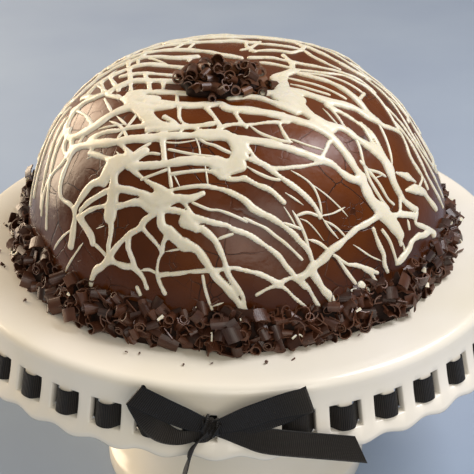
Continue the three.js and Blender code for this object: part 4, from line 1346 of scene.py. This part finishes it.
def ring_outline(azimuth, shrink, foot):
    """Radii and heights of the heap round the cake's foot, from its inside foot over the top to its outside
    foot. Shrink draws it in all over, and the heap is higher at the back."""
    back = RING_BACK_RISE * np.clip(-np.cos(azimuth) / 0.35, 0, 1)
    height = RING_HEIGHT + 2.4 * swell(azimuth, 11, 19, 1.1) + back - shrink
    radius = RING_RADIUS + 0.6 * np.sin(azimuth) ** 2 + 1.8 * swell(azimuth, 9, 16, 0.4) - shrink
    wall, low = RING_INSIDE, foot + 0 * azimuth
    return [(wall, low), (wall, height - 3), (wall + 1.5, height),
            (0.45 * wall + 0.55 * radius, height - 1), (radius - 2.4, 0.7 * height),
            (radius - 0.4, 0.4 * height), (radius, 0.16 * height), (radius, low)]


def ring_rows(shrink, first, last, closed, foot=0.0):
    """The outline's rows from first to last, swept all round, as points and faces."""
    turn = np.linspace(0, 2 * math.pi, 240, endpoint=False)
    outline = ring_outline(turn, shrink, foot)[first:last]
    rings = np.stack([polar(turn, radius, STAND_HEIGHT + RING_REST + height) for radius, height in outline])
    count, rows = len(turn), len(outline)
    faces = []
    for row in range(rows if closed else rows - 1):
        faces += between_rings(row * count, (row + 1) % rows * count, count)
    return rings.reshape(-1, 3), faces


def strewn(name, surface, shapes, material, turns=((0, 0, 0), (360, 360, 360)), **values):
    """Strews shapes over a surface made of points and faces, and drops the surface itself.

    Turns are the least and the most that a shape is turned about the three axes, in degrees. Spacing and lift
    are in metres, and density is the most shapes on a square metre."""
    base = piece(name + "_bed", *surface, material)
    least, most = ([math.radians(angle) for angle in turn] for turn in turns)
    made = grown(name, base, SCATTER, {
        "Shapes": shapes, "Material": material, "Least Turn": least, "Most Turn": most, **values})
    bpy.data.objects.remove(base)
    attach(made, "root")
    return made


def curl_ring():
    """A core painted near black as the shade deep in the heap, the curls pressed on it, and slivers of the
    white chocolate that fell among them.
    """
    core = piece("curl_ring_core", *ring_rows(CORE_IN, 0, 8, True), SHAVINGS_IN_SHADOW)
    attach(core, "root")
    curls = strewn("curl_ring_curls", ring_rows(CURLS_IN, 1, 8, False, foot=1.6), CURLS, SHAVED_CHOCOLATE,
                   Spacing=3.1 * MM, Density=220000.0, Smallest=0.75, Largest=1.15, Lift=3.6 * MM, Seed=4)
    for made in (core, curls):
        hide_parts("curl_ring")
    bits = strewn("white_chocolate_bits", ring_rows(SLIVERS_IN, 3, 7, False), SLIVERS, WHITE_CHOCOLATE,
                  Spacing=8 * MM, Density=3200.0, Smallest=0.5, Largest=0.9, Lift=1.0 * MM, Seed=6)


curl_ring()

PILE_CENTRE = (-4.8, -22.2)
PILE_HALF_WIDTH, PILE_HALF_LENGTH, PILE_HEIGHT = 25.0, 19.0, 11.0


def curl_pile():
    """A low mound on the crown, painted near black as the shade deep in the heap, and the rolled shavings
    heaped on it.
    """
    turn = np.linspace(0, 2 * math.pi, 48, endpoint=False)
    uneven = 1 + 0.09 * swell(turn, 5, 8, 0.7)
    crown, peak = DOME_FOOT + DOME_HEIGHT, 0.52
    rings = []
    for share, rise in ((0.86, 0.0), (0.84, 0.22), (0.6, 0.42), (0.3, peak)):
        rings.append(np.stack([
            PILE_CENTRE[0] + PILE_HALF_WIDTH * share * uneven * np.cos(turn),
            PILE_CENTRE[1] + PILE_HALF_LENGTH * share * uneven * np.sin(turn),
            crown + PILE_HEIGHT * rise + 0 * turn], 1) * MM)
    top = np.array([[*PILE_CENTRE, crown + peak * PILE_HEIGHT]]) * MM
    foot = np.array([[*PILE_CENTRE, crown]]) * MM
    points, faces = round_rings(np.array(rings[::-1]), foot, top)
    core = piece("curl_pile_core", points, faces, SHAVINGS_IN_SHADOW)
    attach(core, "root")
    foot_point = len(points) - 1
    skin = [face for face in faces if foot_point not in face]
    curls = strewn("curl_pile_curls", (points, skin), TUBES, SHAVED_MILK_CHOCOLATE,
                   turns=((35, -30, -65), (110, 30, 65)), Spacing=3.5 * MM, Density=140000.0, Smallest=0.66,
                   Largest=0.98, Lift=6.0 * MM, Seed=9)
    for made in (core, curls):
        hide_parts("curl_pile")


curl_pile()


def plate_crumbs():
    """Shavings that fell off the heap while it was pressed on, most of them on the left side."""
    turn = np.radians(np.linspace(-170, 20, 96))
    rings = np.stack([polar(turn, radius + 0 * turn, STAND_HEIGHT + 0.6) for radius in (129.0, 134.0)])
    count = len(turn)
    faces = [(k, count + k, count + k + 1, k + 1) for k in range(count - 1)]
    crumbs = strewn("plate_crumbs", (rings.reshape(-1, 3), faces), CRUMBS, SHAVED_CHOCOLATE,
                    Spacing=2 * MM, Density=9000.0, Smallest=0.4, Largest=1.0, Lift=0.3 * MM, Seed=3)


plate_crumbs()
